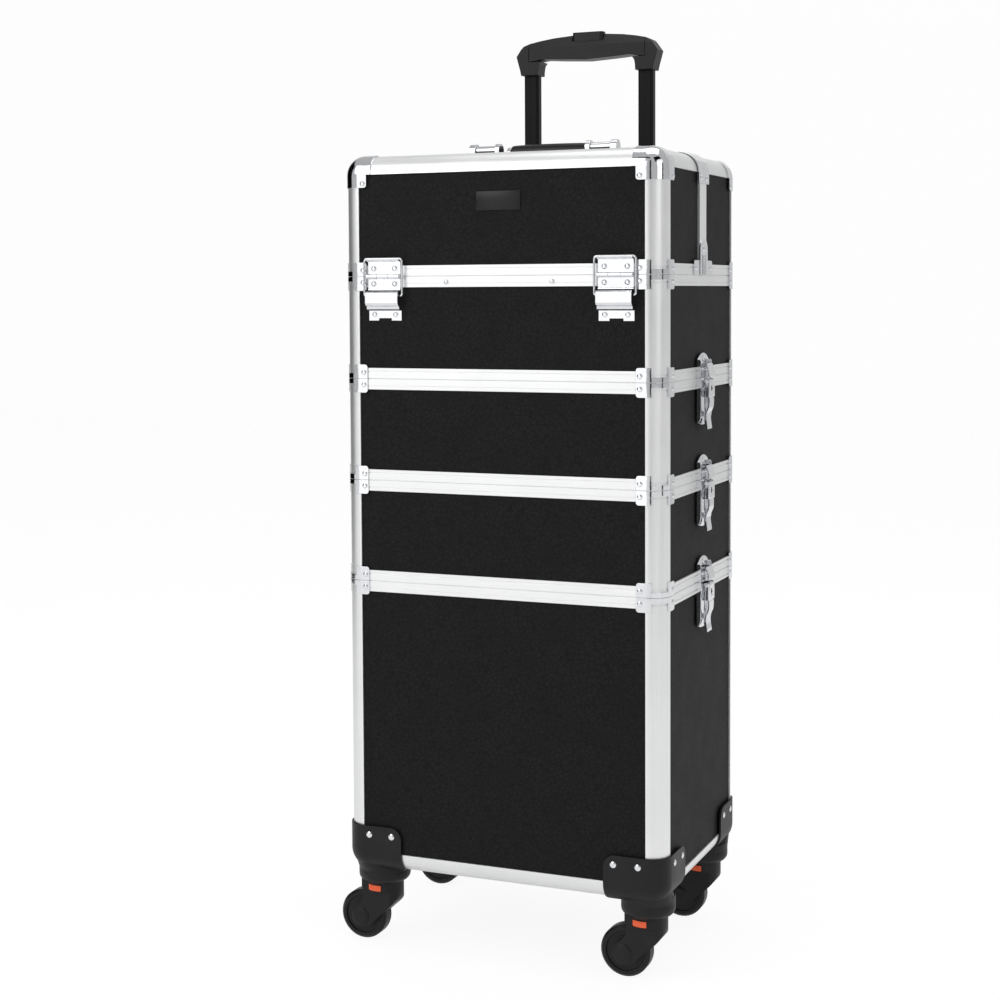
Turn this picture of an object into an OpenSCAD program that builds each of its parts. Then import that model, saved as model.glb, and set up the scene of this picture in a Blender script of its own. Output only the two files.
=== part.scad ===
// Rolling makeup train case: four stacked sections in an aluminium frame, a
// front-hinged lid, draw latches, a pull-up trolley handle and four casters.
// Millimetres. The case stands on z = 0, its middle is on x = y = 0, and its
// hinged side faces -Y.

/* [Case] */
// Width of the case over its aluminium edges
case_w = 340; // [320:2:380]
// Depth of the case over its aluminium edges
case_d = 250; // [240:2:290]
// Height of the floor panel's underside over the floor
case_z = 82; // [80:1:95]
// Height of the bottom section
bottom_h = 298; // [260:2:340]
// Height of each of the three stacked tiers
tier_h = 102.5; // [90:0.5:130]
// Height of the lid
lid_h = 121; // [105:1:150]
// Radius of the rounded corner posts and edge profiles
edge_r = 19; // [15:0.5:22]

/* [Walls and rails] */
// Thickness of the covered wall panels
panel_t = 4; // [3:0.5:5]
// How far a panel's face lies inside the rail's face
panel_inset = 1.8; // [1:0.1:2.5]
// Wall of the aluminium profiles
rail_t = 1.4; // [1:0.1:1.6]
// Height of each seam rail
rail_h = 10.8; // [9:0.2:14]
// Height of the tongue that centres one section on the next
tongue_h = 4; // [2.5:0.5:4]
// Thickness of the tier floors
floor_t = 3; // [2:0.5:5]

/* [Metal fittings] */
// Thickness of the pressed chrome fittings
plate_t = 1.2; // [0.8:0.1:1.5]
// Width of a hinge or latch plate
fitting_w = 36; // [30:1:40]
// Distance of each hinge and rear latch from the case's side
hinge_in = 47.7; // [45:0.5:60]
// Radius of the hinge bail's wire
bail_r = 1.1; // [0.8:0.1:1.3]
// Radius of a rivet head
rivet_r = 2.6; // [2:0.1:3]

/* [Handles] */
// Distance of each trolley tube from the middle
tube_x = 66.6; // [55:0.5:75]
// Depth of the gap between the case and the trolley tube's axis
tube_gap = 13; // [12.5:0.1:16]
// Width of the innermost trolley tube
tube_w = 17; // [14:0.5:19]
// Depth of the innermost trolley tube
tube_d = 12.6; // [10:0.2:13]
// Wall of the trolley tubes
tube_wall = 1; // [0.8:0.1:1.1]
// Height of the raised grip's top over the lid
grip_rise = 147.5; // [130:0.5:170]
// Length of the carry handle's grip
carry_l = 92; // [86:1:96]

/* [Casters] */
// Radius of the wheels
wheel_r = 25.5; // [22:0.5:27]
// Width of a wheel
wheel_w = 17; // [14:0.5:18]
// Distance that a wheel trails behind its stem
trail = 21.5; // [18:0.5:24]
// Distance of each caster stem from the case's side
stem_in = 26.5; // [25:0.5:32]
// Distance of each caster stem from the case's front or back
stem_back = 32; // [30:0.5:36]

/* [Fits] */
// Radial clearance of the pins in their bores
pin_fit = 0.05; // [0.02:0.01:0.1]
// Gap between faces that slide or swing past each other
slide_gap = 0.3; // [0.25:0.05:0.4]

/* [Hidden] */
$fn = 48;
e = 0.01;

BLACK = "#26262a";
SATIN = "#e2e3e4";
CHROME = "#cfd4d8";
ORANGE = "#ff6f3d";

// Levels of the four seams, and of the lid's top
seam_4 = case_z + bottom_h;
seam_3 = seam_4 + tier_h;
seam_2 = seam_3 + tier_h;
seam_1 = seam_2 + tier_h;
lid_top = seam_1 + lid_h;

half_w = case_w / 2;
half_d = case_d / 2;
// Centres of the rounded corners
corner_x = half_w - edge_r;
corner_y = half_d - edge_r;
hinge_x = half_w - hinge_in;
stem_x = half_w - stem_in;
stem_y = half_d - stem_back;
// Insets of the panel's inner face and of the rail's inner wall
panel_in = panel_inset + panel_t;
wall_in = panel_in + rail_t;
tongue_in = wall_in + slide_gap + 0.1;
ledge_z = tongue_h + 0.6;
ledge_in = wall_in + 5;

// ---------------------------------------------------------------- plan shapes

// A rectangle with round corners, centred
module round_rect(w, d, r) {
    square([w - 2 * r, d], center = true);
    square([w, d - 2 * r], center = true);
    for (x = [-1, 1], y = [-1, 1])
        translate([x * (w / 2 - r), y * (d / 2 - r)]) circle(r);
}

// The case's outline, moved in by inset all round
module outline(inset = 0) {
    round_rect(case_w - 2 * inset, case_d - 2 * inset, edge_r - inset);
}

// A ring between two insets of the outline, from z up by h
module ring(z, h, outer, inner) {
    translate([0, 0, z]) linear_extrude(h) difference() {
        outline(outer);
        outline(inner);
    }
}

// Copies at the four corners, drawn for the one at +x +y
module at_corners() {
    for (mx = [0, 1], my = [0, 1]) mirror([mx, 0, 0]) mirror([0, my, 0]) children();
}

// ------------------------------------------------------------------- sections

// Four wall panels between two levels
module walls(low, high) {
    for (s = [-1, 1]) {
        translate([-corner_x, s * (half_d - panel_inset - panel_t / 2) - panel_t / 2, low])
            cube([2 * corner_x, panel_t, high - low]);
        translate([s * (half_w - panel_inset - panel_t / 2) - panel_t / 2, -corner_y, low])
            cube([panel_t, 2 * corner_y, high - low]);
    }
}

// A level panel that fills the frame, its underside at z
module level_panel(z, t, inset) {
    translate([0, 0, z]) linear_extrude(t) outline(inset);
}

// Two slots that hold the panels which meet at an edge whose centre is the origin
module panel_slots() {
    reach = edge_r - panel_in - rail_t;
    for (m = [0, 1]) mirror([m, -m]) {
        translate([0, reach]) square([rail_t, edge_r - reach - rail_t / 2]);
        translate([-2 * panel_t, reach]) square([2 * panel_t + rail_t, rail_t]);
    }
}

// An edge profile l long from z = 0: a quarter-round face and its slots, which run
// on by the profile's wall at each end so that they meet those of the next profile
module edge_profile(l) {
    linear_extrude(l) quarter_shell(edge_r, rail_t);
    translate([0, 0, -rail_t]) linear_extrude(l + 2 * rail_t) panel_slots();
}

// The panel of a closed end, its underside at z
module flat_end_panel(z) {
    translate([-corner_x, -corner_y, z]) cube([2 * corner_x, 2 * corner_y, panel_t]);
}

// The four corner posts between two levels, run on into the rails
post_lap = 1;

module posts(low, high) {
    at_corners() translate([corner_x, corner_y, low]) edge_profile(high - low);
}

// Height and depth of the shadow line along a seam, and of the groove in each rail
seam_line = 0.4;
groove_h = 0.9;
groove_d = 0.5;
groove_z = 3;

// A rail's outer face over the seam at z = 0, with the groove near its far edge
module rail_face() {
    far = rail_h - groove_z;
    ring(seam_line, far - groove_h - seam_line, 0, panel_inset);
    ring(far - groove_h, groove_h, groove_d, panel_inset);
    ring(far, groove_z, 0, panel_inset);
    ring(0, rail_t, panel_inset / 2, wall_in);
}

// The rail that closes a section's open top at z, with its centring tongue
module top_rail(z) {
    translate([0, 0, z]) mirror([0, 0, 1]) rail_face();
    ring(z - rail_h, rail_h, panel_in, wall_in);
    ring(z - rail_t, rail_t, wall_in - rail_t, tongue_in + rail_t);
    ring(z - rail_t, rail_t + tongue_h, tongue_in, tongue_in + rail_t);
}

// The rail round a section's lower edge at z
module bottom_rail(z) {
    translate([0, 0, z]) rail_face();
    ring(z, rail_h, panel_in, wall_in);
}

// The ledge inside a tier's lower rail that its floor lies on
module floor_ledge(z) {
    ring(z + ledge_z, rail_t, panel_in, ledge_in);
}

module tier_panels(seam) {
    color(BLACK) {
        walls(seam + rail_t, seam + tier_h - rail_t);
        level_panel(seam + ledge_z + rail_t, floor_t, wall_in);
    }
}

module tier_frame(seam) {
    color(SATIN) {
        bottom_rail(seam);
        floor_ledge(seam);
        posts(seam + rail_h - post_lap, seam + tier_h - rail_h + post_lap);
        top_rail(seam + tier_h);
    }
}

// A quarter-round edge profile, a shell round the origin's +x +y quarter
module quarter_shell(r, t) {
    difference() {
        intersection() {
            circle(r);
            square(r + e);
        }
        circle(r - t);
    }
}

// An octant of a hollow ball, for the corners of the lid and the bottom
module octant_shell(r, t) {
    rotate_extrude(angle = 90) quarter_shell(r, t);
}

// The rounded rails round a closed end, drawn for one whose face is up at z
module edge_rails() {
    for (s = [0, 1]) {
        mirror([0, s, 0]) translate([-corner_x, corner_y, 0])
            rotate([90, 0, 90]) edge_profile(2 * corner_x);
        mirror([s, 0, 0]) translate([corner_x, corner_y, 0])
            rotate([90, 0, 0]) edge_profile(2 * corner_y);
    }
    at_corners() translate([corner_x, corner_y, 0]) octant_shell(edge_r, rail_t);
}

// A rivet head standing on the plane z = 0
module rivet(r = rivet_r) {
    cylinder(r = r, h = 0.5);
    translate([0, 0, 0.5]) cylinder(r1 = r, r2 = r * 0.55, h = 0.7);
}

// ---------------------------------------------------------- chrome corner pieces

// Size of the riveted ears, and height of the strap that joins them
ear_w = 9;
ear_h = 14;
ear_round = 3;
strap_h = 5;
// Angle of the ear's part that wraps on to the round corner
ear_wrap = 18;
// Place of an ear's rivet, from the corner's tangent line and from the seam
ear_rivet = [5, 6];

// An ear on the plane y = 0, standing out towards +y, from x = -ear_w to 0
module ear_plate(h = ear_h) {
    translate([0, plate_t, 0]) rotate([90, 0, 0]) linear_extrude(plate_t) {
        translate([-ear_w + ear_round, 0]) square([ear_w - ear_round, h]);
        translate([-ear_w, 0]) square([ear_w, h - ear_round]);
        translate([-ear_w + ear_round, h - ear_round]) circle(ear_round);
    }
}

// A rivet on the plane y = 0, its head towards +y
module rivet_at(x, z, y = 0, r = rivet_r) {
    translate([x, y, z]) rotate([-90, 0, 0]) rivet(r);
}

// The wrap round one corner above z = 0: a strap with a riveted ear at each end
module seam_bracket() {
    translate([corner_x, corner_y, 0]) {
        rotate_extrude(angle = 90) translate([edge_r, 0]) square([plate_t, strap_h]);
        for (m = [0, 1]) mirror([m, -m, 0]) {
            rotate_extrude(angle = ear_wrap) translate([edge_r, 0]) square([plate_t, ear_h]);
            translate([0, edge_r, 0]) ear_plate();
            rivet_at(-ear_rivet[0], ear_rivet[1], edge_r + plate_t);
        }
    }
}

// Brackets above the level low and below the level high
module brackets_over(low) {
    at_corners() translate([0, 0, low + slide_gap / 2]) seam_bracket();
}

module brackets_under(high) {
    at_corners() translate([0, 0, high - slide_gap / 2]) mirror([0, 0, 1]) seam_bracket();
}

// A chrome cap over one top corner, with a leg down each of the three profiles
cap_leg = 13;
cap_ear_z = -9;

module top_corner_cap() {
    translate([corner_x, corner_y, lid_top - edge_r]) {
        octant_shell(edge_r + plate_t, plate_t);
        translate([0, 0, -cap_leg]) linear_extrude(cap_leg) quarter_shell(edge_r + plate_t, plate_t);
        translate([-cap_leg, 0, 0]) rotate([90, 0, 90]) linear_extrude(cap_leg)
            quarter_shell(edge_r + plate_t, plate_t);
        rotate([90, 0, 0]) linear_extrude(cap_leg) quarter_shell(edge_r + plate_t, plate_t);
        for (m = [0, 1]) mirror([m, -m, 0]) {
            translate([0, edge_r, 0]) mirror([0, 0, 1]) ear_plate(cap_leg);
            rivet_at(-ear_rivet[0], cap_ear_z, edge_r + plate_t);
        }
    }
}

// --------------------------------------------------------------------- sections

module bottom_panels() {
    color(BLACK) {
        walls(case_z + edge_r, seam_4 - rail_t);
        flat_end_panel(case_z + panel_inset);
    }
}

module bottom_frame() {
    color(SATIN) {
        translate([0, 0, case_z + edge_r]) mirror([0, 0, 1]) edge_rails();
        posts(case_z + edge_r, seam_4 - rail_h + post_lap);
        top_rail(seam_4);
    }
}

module lid_panels() {
    color(BLACK) {
        walls(seam_1 + rail_t, lid_top - edge_r);
        flat_end_panel(lid_top - panel_inset - panel_t);
    }
}

module lid_frame() {
    color(SATIN) {
        bottom_rail(seam_1);
        posts(seam_1 + rail_h - post_lap, lid_top - edge_r);
        translate([0, 0, lid_top - edge_r]) edge_rails();
    }
}

module bottom_corner_brackets() {
    color(CHROME) brackets_under(seam_4);
}

module tier_brackets(seam) {
    color(CHROME) {
        brackets_over(seam);
        brackets_under(seam + tier_h);
    }
}

module lid_corner_caps() {
    color(CHROME) {
        brackets_over(seam_1);
        at_corners() top_corner_cap();
    }
}

// ---------------------------------------------------------------- draw latches

// Width of a latch, and the reach of its parts from the seam and the rail's face
latch_w = 30;
strike_round = latch_w / 2;
strike_wall_h = 14;
strike_wall_u = 9;
base_h = 45.6;
base_wall_u = 10;
// Pivot pin of the lever: distance from the rail's face, height over the seam, radius
pivot_u = 7.5;
pivot_z = -3.6;
pivot_r = 1.6;
lever_w = latch_w - 2 * plate_t - 4 * slide_gap;
finger_w = 15;
finger_t = 1.8;
tongue_w = 12;
tongue_reach = 5.4;
keyhole_z = -11;

// Places its children, drawn for the back face, on the sides or the back
module on_right(seam) {
    translate([half_w, 0, seam]) rotate([0, 0, -90]) children();
}

module on_left(seam) {
    translate([-half_w, 0, seam]) rotate([0, 0, 90]) children();
}

module on_back(x, seam) {
    translate([x, half_d, seam]) children();
}

module on_front(x, seam) {
    translate([x, -half_d, seam]) rotate([0, 0, 180]) children();
}

// A bar across the latch, along x
module cross_bar(w, u, z, r) {
    translate([-w / 2, u, z]) rotate([0, 90, 0]) cylinder(r = r, h = w);
}

// A profile in the y-z plane, extruded to w about x = 0
module across(w) {
    translate([-w / 2, 0, 0]) rotate([90, 0, 90]) linear_extrude(w) children();
}

// A shape in the x-z plane, its back at y and t thick
module upright(y, t) {
    translate([0, y + t, 0]) rotate([90, 0, 0]) linear_extrude(t) children();
}

// The two side walls of a latch channel
module channel_walls(profile) {
    for (s = [0, 1]) mirror([s, 0, 0])
        translate([(latch_w - plate_t) / 2, 0, 0]) across(plate_t) polygon(profile);
}

module strike_outline() {
    translate([-latch_w / 2, slide_gap]) square([latch_w, rail_h - slide_gap]);
    intersection() {
        translate([0, rail_h - 1]) circle(strike_round);
        translate([-latch_w / 2, 0]) square([latch_w, latch_w]);
    }
}

module latch_strike() {
    upright(0, plate_t) strike_outline();
    upright(-panel_inset, panel_inset) intersection() {
        strike_outline();
        translate([-latch_w / 2, rail_h]) square([latch_w, latch_w]);
    }
    channel_walls([[0, slide_gap], [strike_wall_u, slide_gap], [strike_wall_u, strike_wall_h - 5],
        [strike_wall_u - 5, strike_wall_h], [0, strike_wall_h]]);
    cross_bar(latch_w, strike_wall_u - 3.5, strike_wall_h - 5, 1.4);
    rivet_at(0, strike_wall_h + 5, plate_t);
}

module latch_base() {
    upright(0, plate_t) translate([-latch_w / 2, -base_h]) square([latch_w, base_h - slide_gap]);
    upright(-panel_inset, panel_inset)
        translate([-latch_w / 2, -base_h]) square([latch_w, base_h - rail_h]);
    channel_walls([[0, -slide_gap], [base_wall_u, -slide_gap], [base_wall_u, -base_h / 2],
        [base_wall_u - 2, -base_h + 5], [base_wall_u - 5, -base_h], [0, -base_h]]);
    cross_bar(latch_w + 1.6, pivot_u, pivot_z, pivot_r);
    rivet_at(0, -base_h + 7, plate_t);
}

// Points of the finger's S shape, along its middle, from the box to its tip
finger_path = [[11.6, -17], [12.6, -21], [13.9, -25], [14.4, -28], [13.9, -31], [12.2, -34.5],
    [10.6, -38], [10, -42], [10.4, -46], [11.6, -50], [13, -53]];

// The outline of a strip t thick along a path
function strip(path, t) = concat(
    [for (p = path) p + [t / 2, 0]],
    [for (i = [len(path) - 1:-1:0]) path[i] - [t / 2, 0]]);

module latch_lever() {
    color(CHROME) difference() {
        union() {
            cross_bar(lever_w, pivot_u, pivot_z, pivot_r + plate_t + 0.4);
            across(lever_w) polygon([[pivot_u, -1], [11, -1], [12.5, -3], [12.5, -18], [10.9, -18],
                [10.9, -5], [pivot_u, -5]]);
            for (s = [0, 1]) mirror([s, 0, 0]) translate([(lever_w - plate_t) / 2, 0, 0])
                across(plate_t) polygon([[pivot_u, -1], [11, -1], [12.5, -3], [12.5, -18],
                    [8, -18], [5, -7]]);
            across(finger_w) polygon(strip(finger_path, finger_t));
            translate([-tongue_w / 2, pivot_u - plate_t / 2, pivot_z])
                cube([tongue_w, plate_t, tongue_reach]);
            translate([0, 12.5, keyhole_z]) rotate([-90, 0, 0]) cylinder(r = 3.6, h = 0.8);
        }
        cross_bar(lever_w + 2, pivot_u, pivot_z, pivot_r + pin_fit);
    }
}

module bottom_latch_bases() {
    color(CHROME) {
        on_right(seam_4) latch_base();
        on_left(seam_4) latch_base();
    }
}

// A middle tier's strikes on its lower edge and bases under its upper edge
module tier_latch_plates(seam) {
    color(CHROME) {
        on_right(seam) latch_strike();
        on_left(seam) latch_strike();
        on_right(seam + tier_h) latch_base();
        on_left(seam + tier_h) latch_base();
    }
}

module tier_1_latch_plates() {
    color(CHROME) {
        on_right(seam_2) latch_strike();
        on_left(seam_2) latch_strike();
        for (s = [-1, 1]) on_back(s * hinge_x, seam_1) latch_base();
    }
}

module lid_latch_strikes() {
    color(CHROME) for (s = [-1, 1]) on_back(s * hinge_x, seam_1) latch_strike();
}

// ------------------------------------------------------------------ lid hinges

// Hinge axis and bail bar: distance from the rail's face, and the bar's height
knuckle_u = 4;
knuckle_r = 2.6;
hinge_pin_r = 1.5;
bail_z = 17.7;
bail_low_z = -19;
bail_half_w = 20.9;
// Half the width of the lower leaf's middle knuckle
mid_knuckle = 6;
leaf_top = 16;
leaf_low = 13.8;
hinge_rivet = [11.6, 8, -7.3];

module hinge_bore() {
    cross_bar(fitting_w + 2, knuckle_u, 0, hinge_pin_r + pin_fit);
}

module knuckle(low, high) {
    translate([low, knuckle_u, 0]) rotate([0, 90, 0]) cylinder(r = knuckle_r, h = high - low);
    translate([low, 0, 0.6]) cube([high - low, knuckle_u, knuckle_r - 1]);
}

module hinge_upper_leaf() {
    seg = mid_knuckle + slide_gap;
    difference() {
        union() {
            upright(0, plate_t) translate([-fitting_w / 2, 0.6]) square([fitting_w, leaf_top - 0.6]);
            upright(-panel_inset, panel_inset)
                translate([-fitting_w / 2, rail_h]) square([fitting_w, leaf_top - rail_h]);
            knuckle(seg, fitting_w / 2);
            mirror([1, 0, 0]) knuckle(seg, fitting_w / 2);
            cross_bar(fitting_w, knuckle_u, bail_z, bail_r + pin_fit + plate_t);
            translate([-fitting_w / 2, 0, leaf_top - plate_t]) cube([fitting_w, knuckle_u, plate_t]);
        }
        hinge_bore();
        cross_bar(fitting_w + 2, knuckle_u, bail_z, bail_r + pin_fit);
        translate([-fitting_w / 2 - 1, plate_t + 0.8, bail_z + 0.4]) cube([fitting_w + 2, 6, 4]);
    }
    for (s = [-1, 1]) rivet_at(s * hinge_rivet[0], hinge_rivet[1], plate_t);
}

module hinge_lower_leaf() {
    upright(0, plate_t) translate([-fitting_w / 2, -leaf_low]) square([fitting_w, leaf_low - 0.6]);
    upright(-panel_inset, panel_inset)
        translate([-fitting_w / 2, -leaf_low]) square([fitting_w, leaf_low - rail_h]);
    mirror([0, 0, 1]) knuckle(-mid_knuckle, mid_knuckle);
    cross_bar(fitting_w + 1.6, knuckle_u, 0, hinge_pin_r);
    cross_bar(fitting_w, plate_t, -leaf_low + 0.8, 1);
    for (s = [-1, 1]) rivet_at(s * hinge_rivet[0], hinge_rivet[2], plate_t);
}

// The spring's housing under the leaf: a rounded box on a footed plate
housing_low = 44;
housing_rivet_z = -38;
foot_notch = [7, 2.4];

module hinge_spring_housing() {
    across(fitting_w) polygon([[-panel_inset, -15], [7.5, -15], [9, -16.5], [9, -26.5], [7.4, -29],
        [5.4, -30], [4.8, -32.6], [3, -34], [-panel_inset, -34]]);
    upright(-panel_inset, plate_t) difference() {
        translate([-fitting_w / 2, -housing_low]) square([fitting_w, housing_low - 16]);
        translate([-foot_notch[0], -housing_low - e]) square([2 * foot_notch[0], foot_notch[1]]);
    }
    for (s = [-1, 1]) rivet_at(s * hinge_rivet[0], housing_rivet_z, plate_t - panel_inset);
}

// A wire bend of a quarter turn in the x-z plane, from +x round to +z
module wire_bend(r) {
    rotate([90, 0, 0]) rotate_extrude(angle = 90) translate([r, 0]) circle(bail_r);
}

bail_bend = 3;
bail_foot_bend = 1.9;

module hinge_bail() {
    color(CHROME) {
        straight = bail_half_w - bail_bend;
        cross_bar(2 * straight, knuckle_u, bail_z, bail_r);
        for (s = [0, 1]) mirror([s, 0, 0]) {
            translate([straight, knuckle_u, bail_z - bail_bend]) wire_bend(bail_bend);
            translate([bail_half_w, knuckle_u, bail_low_z + bail_foot_bend])
                cylinder(r = bail_r, h = bail_z - bail_bend - bail_low_z - bail_foot_bend);
            translate([bail_half_w - bail_foot_bend, knuckle_u, bail_low_z + bail_foot_bend])
                mirror([0, 0, 1]) wire_bend(bail_foot_bend);
        }
    }
}

module hinge_upper_leaves() {
    color(CHROME) for (s = [-1, 1]) on_front(s * hinge_x, seam_1) hinge_upper_leaf();
}

module hinge_lower_leaves() {
    color(CHROME) for (s = [-1, 1]) on_front(s * hinge_x, seam_1) hinge_lower_leaf();
}

module hinge_spring_housings() {
    color(CHROME) for (s = [-1, 1]) on_front(s * hinge_x, seam_1) hinge_spring_housing();
}

// --------------------------------------------------- centre band and top fittings

band_w = 22.6;
band_t = 2.6;
band_round = 5;
band_foot = 30;
wrap_w = 34;
wrap_foot = 11;
bracket_tongue = 32;
bracket_ear_x = 31;
bracket_ear_h = 14;
band_top = lid_top - panel_inset + band_t;

// The strip that stiffens the lid across its middle, on its top and both sides
module lid_centre_band() {
    color(SATIN) {
        translate([-corner_x, -band_w / 2, lid_top - panel_inset])
            cube([2 * corner_x, band_w, band_t]);
        for (s = [0, 1]) mirror([s, 0, 0])
            translate([half_w - panel_inset, -band_w / 2, seam_1 + rail_h])
                cube([band_t, band_w, lid_h - edge_r - rail_h]);
    }
}

// The T at the band's foot, drawn for the back face
module band_bracket() {
    u = band_t - panel_inset;
    upright(u, plate_t) {
        translate([-band_w / 2 - plate_t, 0.6])
            square([band_w + 2 * plate_t, bracket_tongue - band_w / 3]);
        translate([0, bracket_tongue - band_w / 3]) intersection() {
            circle(band_w / 2 + plate_t);
            translate([-band_w, 0]) square([2 * band_w, band_w / 3 + 2]);
        }
    }
    for (s = [0, 1]) mirror([s, 0, 0]) {
        upright(0, plate_t) translate([band_w / 2, 0.6]) {
            square([bracket_ear_x - band_w / 2 - ear_round, bracket_ear_h]);
            square([bracket_ear_x - band_w / 2, bracket_ear_h - ear_round]);
            translate([bracket_ear_x - band_w / 2 - ear_round, bracket_ear_h - ear_round])
                circle(ear_round);
        }
        translate([band_w / 2, 0, 0.6]) cube([plate_t, u + plate_t, bracket_ear_h]);
        rivet_at(bracket_ear_x - 6, 7, plate_t);
    }
    intersection() {
        translate([0, u, 0.6]) cylinder(r = 3.4, h = bracket_tongue - 12);
        translate([-5, u, 0]) cube([10, 5, bracket_tongue]);
    }
    rivet_at(0, bracket_tongue - 6, u + plate_t, 3.4);
}

// A cap that wraps the band round the lid's top edge, drawn for the +x side
module band_wrap() {
    outer_r = edge_r + band_t - panel_inset + plate_t;
    translate([corner_x, wrap_w / 2, lid_top - edge_r]) {
        rotate([90, 0, 0]) linear_extrude(wrap_w) quarter_shell(outer_r, plate_t);
        translate([outer_r - plate_t, -wrap_w, -wrap_foot]) cube([plate_t, wrap_w, wrap_foot]);
        translate([-wrap_foot, -wrap_w, outer_r - plate_t]) cube([wrap_foot, wrap_w, plate_t]);
    }
    for (s = [-1, 1]) translate([corner_x + outer_r, s * 9, lid_top - edge_r - wrap_foot / 2])
        rotate([0, 90, 0]) rivet();
}

module lid_band_brackets() {
    color(CHROME) {
        on_right(seam_1) band_bracket();
        on_left(seam_1) band_bracket();
        band_wrap();
        mirror([1, 0, 0]) band_wrap();
    }
}

// Lugs of the carry handle, the barrel between them and the folded grip behind
lug_x = 78;
lug_t = 7;
ring_lug_x = 50;
ring_lug_t = 5;
lug_foot = 7;
lug_foot_w = 18;
lug_r = 7;
carry_z = band_top + plate_t + lug_r + 1.5;
carry_pin_r = 2;
barrel_r = 5;
grip_back = 28;
grip_r = 7;
grip_z = lid_top + grip_r + 0.8;
// Strap rings: saddle and wire
saddle_x = 112;
saddle_l = 12;
saddle_plate = [34, 16];
saddle_r = 3.6;
ring_wire = 1.65;
ring_w = 24;
ring_leg = 5;
saddle_z = band_top + plate_t + 2.4;

module lug(x, t) {
    translate([x - t / 2, 0, carry_z]) rotate([0, 90, 0]) cylinder(r = lug_r, h = t);
    translate([x - t / 2, -lug_r, band_top]) cube([t, 2 * lug_r, carry_z - band_top]);
}

module lid_top_fittings() {
    color(CHROME) for (s = [0, 1]) mirror([s, 0, 0]) {
        translate([ring_lug_x - lug_foot, -lug_foot_w / 2, band_top])
            cube([lug_x - ring_lug_x + 2 * lug_foot, lug_foot_w, plate_t]);
        lug(lug_x, lug_t);
        lug(ring_lug_x, ring_lug_t);
        translate([ring_lug_x - ring_lug_t / 2, 0, carry_z]) rotate([0, 90, 0])
            cylinder(r = carry_pin_r, h = lug_x - ring_lug_x);
        translate([saddle_x - saddle_plate[0] / 2, -saddle_plate[1] / 2, band_top])
            cube([saddle_plate[0], saddle_plate[1], plate_t]);
        difference() {
            union() {
                translate([saddle_x - saddle_l / 2, 0, saddle_z]) rotate([0, 90, 0])
                    cylinder(r = saddle_r, h = saddle_l);
                translate([saddle_x - saddle_l / 2, -saddle_r, band_top])
                    cube([saddle_l, 2 * saddle_r, saddle_z - band_top]);
            }
            translate([saddle_x, 0, saddle_z]) rotate([0, 90, 0])
                cylinder(r = ring_wire + pin_fit, h = 2 * saddle_l, center = true);
        }
    }
}

// The barrels on the pins and the arms that carry the grip
arm_gap = 0.4;

module carry_handle_arms() {
    barrel_low = ring_lug_x + ring_lug_t / 2 + arm_gap;
    barrel_high = lug_x - lug_t / 2 - arm_gap;
    arm_w = barrel_high - barrel_low;
    color(CHROME) for (s = [0, 1]) mirror([s, 0, 0]) difference() {
        union() {
            translate([barrel_low, 0, carry_z]) rotate([0, 90, 0])
                cylinder(r = barrel_r, h = arm_w);
            translate([barrel_low, 0, carry_z]) rotate([-atan2(carry_z - grip_z, grip_back), 0, 0])
                translate([0, 0, -2.5]) linear_extrude(5) polygon([[1, 3], [arm_w - 1, 3],
                    [arm_w - 6, grip_back - 6], [arm_w - 12, grip_back + 3], [4, grip_back + 4],
                    [-5, grip_back + 3], [-5, grip_back - 3], [1, grip_back - 5]]);
            translate([carry_l / 2, grip_back, grip_z]) rotate([0, 90, 0])
                cylinder(r = grip_r + 0.8, h = 4);
        }
        translate([0, 0, carry_z]) rotate([0, 90, 0])
            cylinder(r = carry_pin_r + pin_fit, h = lug_x);
    }
}

module carry_handle_grip() {
    color(BLACK) translate([-carry_l / 2, grip_back, grip_z]) rotate([0, 90, 0])
        cylinder(r = grip_r, h = carry_l);
}

module strap_ring(x) {
    color(CHROME) translate([x, 0, saddle_z]) {
        translate([-ring_w / 2, 0, 0]) rotate([0, 90, 0]) cylinder(r = ring_wire, h = ring_w);
        for (s = [-1, 1]) {
            translate([s * ring_w / 2, 0, 0]) sphere(r = ring_wire);
            translate([s * ring_w / 2, 0, 0]) rotate([-90, 0, 0])
                cylinder(r = ring_wire, h = ring_leg);
        }
        translate([0, ring_leg, 0]) rotate_extrude(angle = 180)
            translate([ring_w / 2, 0]) circle(ring_wire);
    }
}

// --------------------------------------------------------------- trolley handle

tube_y = half_d + tube_gap;
outer_low = case_z + edge_r + 3;
outer_top = seam_4 - 2;
tube_lap = 32;
stage_l = 288;
mid_low = outer_top - tube_lap;
mid_top = mid_low + stage_l;
inner_low = mid_top - tube_lap + 2;
grip_top = lid_top + grip_rise;
grip_h = 44.5;
grip_low = grip_top - grip_h;
grip_socket = 24;

// A trolley tube's section, nest steps larger than the innermost
module tube_section(nest, grow = 0) {
    step = 2 * nest * (slide_gap + tube_wall) + 2 * grow;
    round_rect(tube_w + step, tube_d + step, 3 + grow);
}

module tubes(nest, low, high) {
    for (s = [-1, 1]) translate([s * tube_x, tube_y, low]) linear_extrude(high - low)
        difference() {
            tube_section(nest);
            tube_section(nest, -tube_wall);
        }
}

module trolley_outer_tubes() {
    color(BLACK) tubes(2, outer_low, outer_top);
}

module trolley_middle_tubes() {
    color(BLACK) tubes(1, mid_low, mid_top);
}

module trolley_inner_tubes() {
    color(BLACK) tubes(0, inner_low, grip_low + grip_socket);
}

bracket_h = 22;
bracket_x = 90;
bracket_t = 5.6;
collar_t = 1.5;

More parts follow.
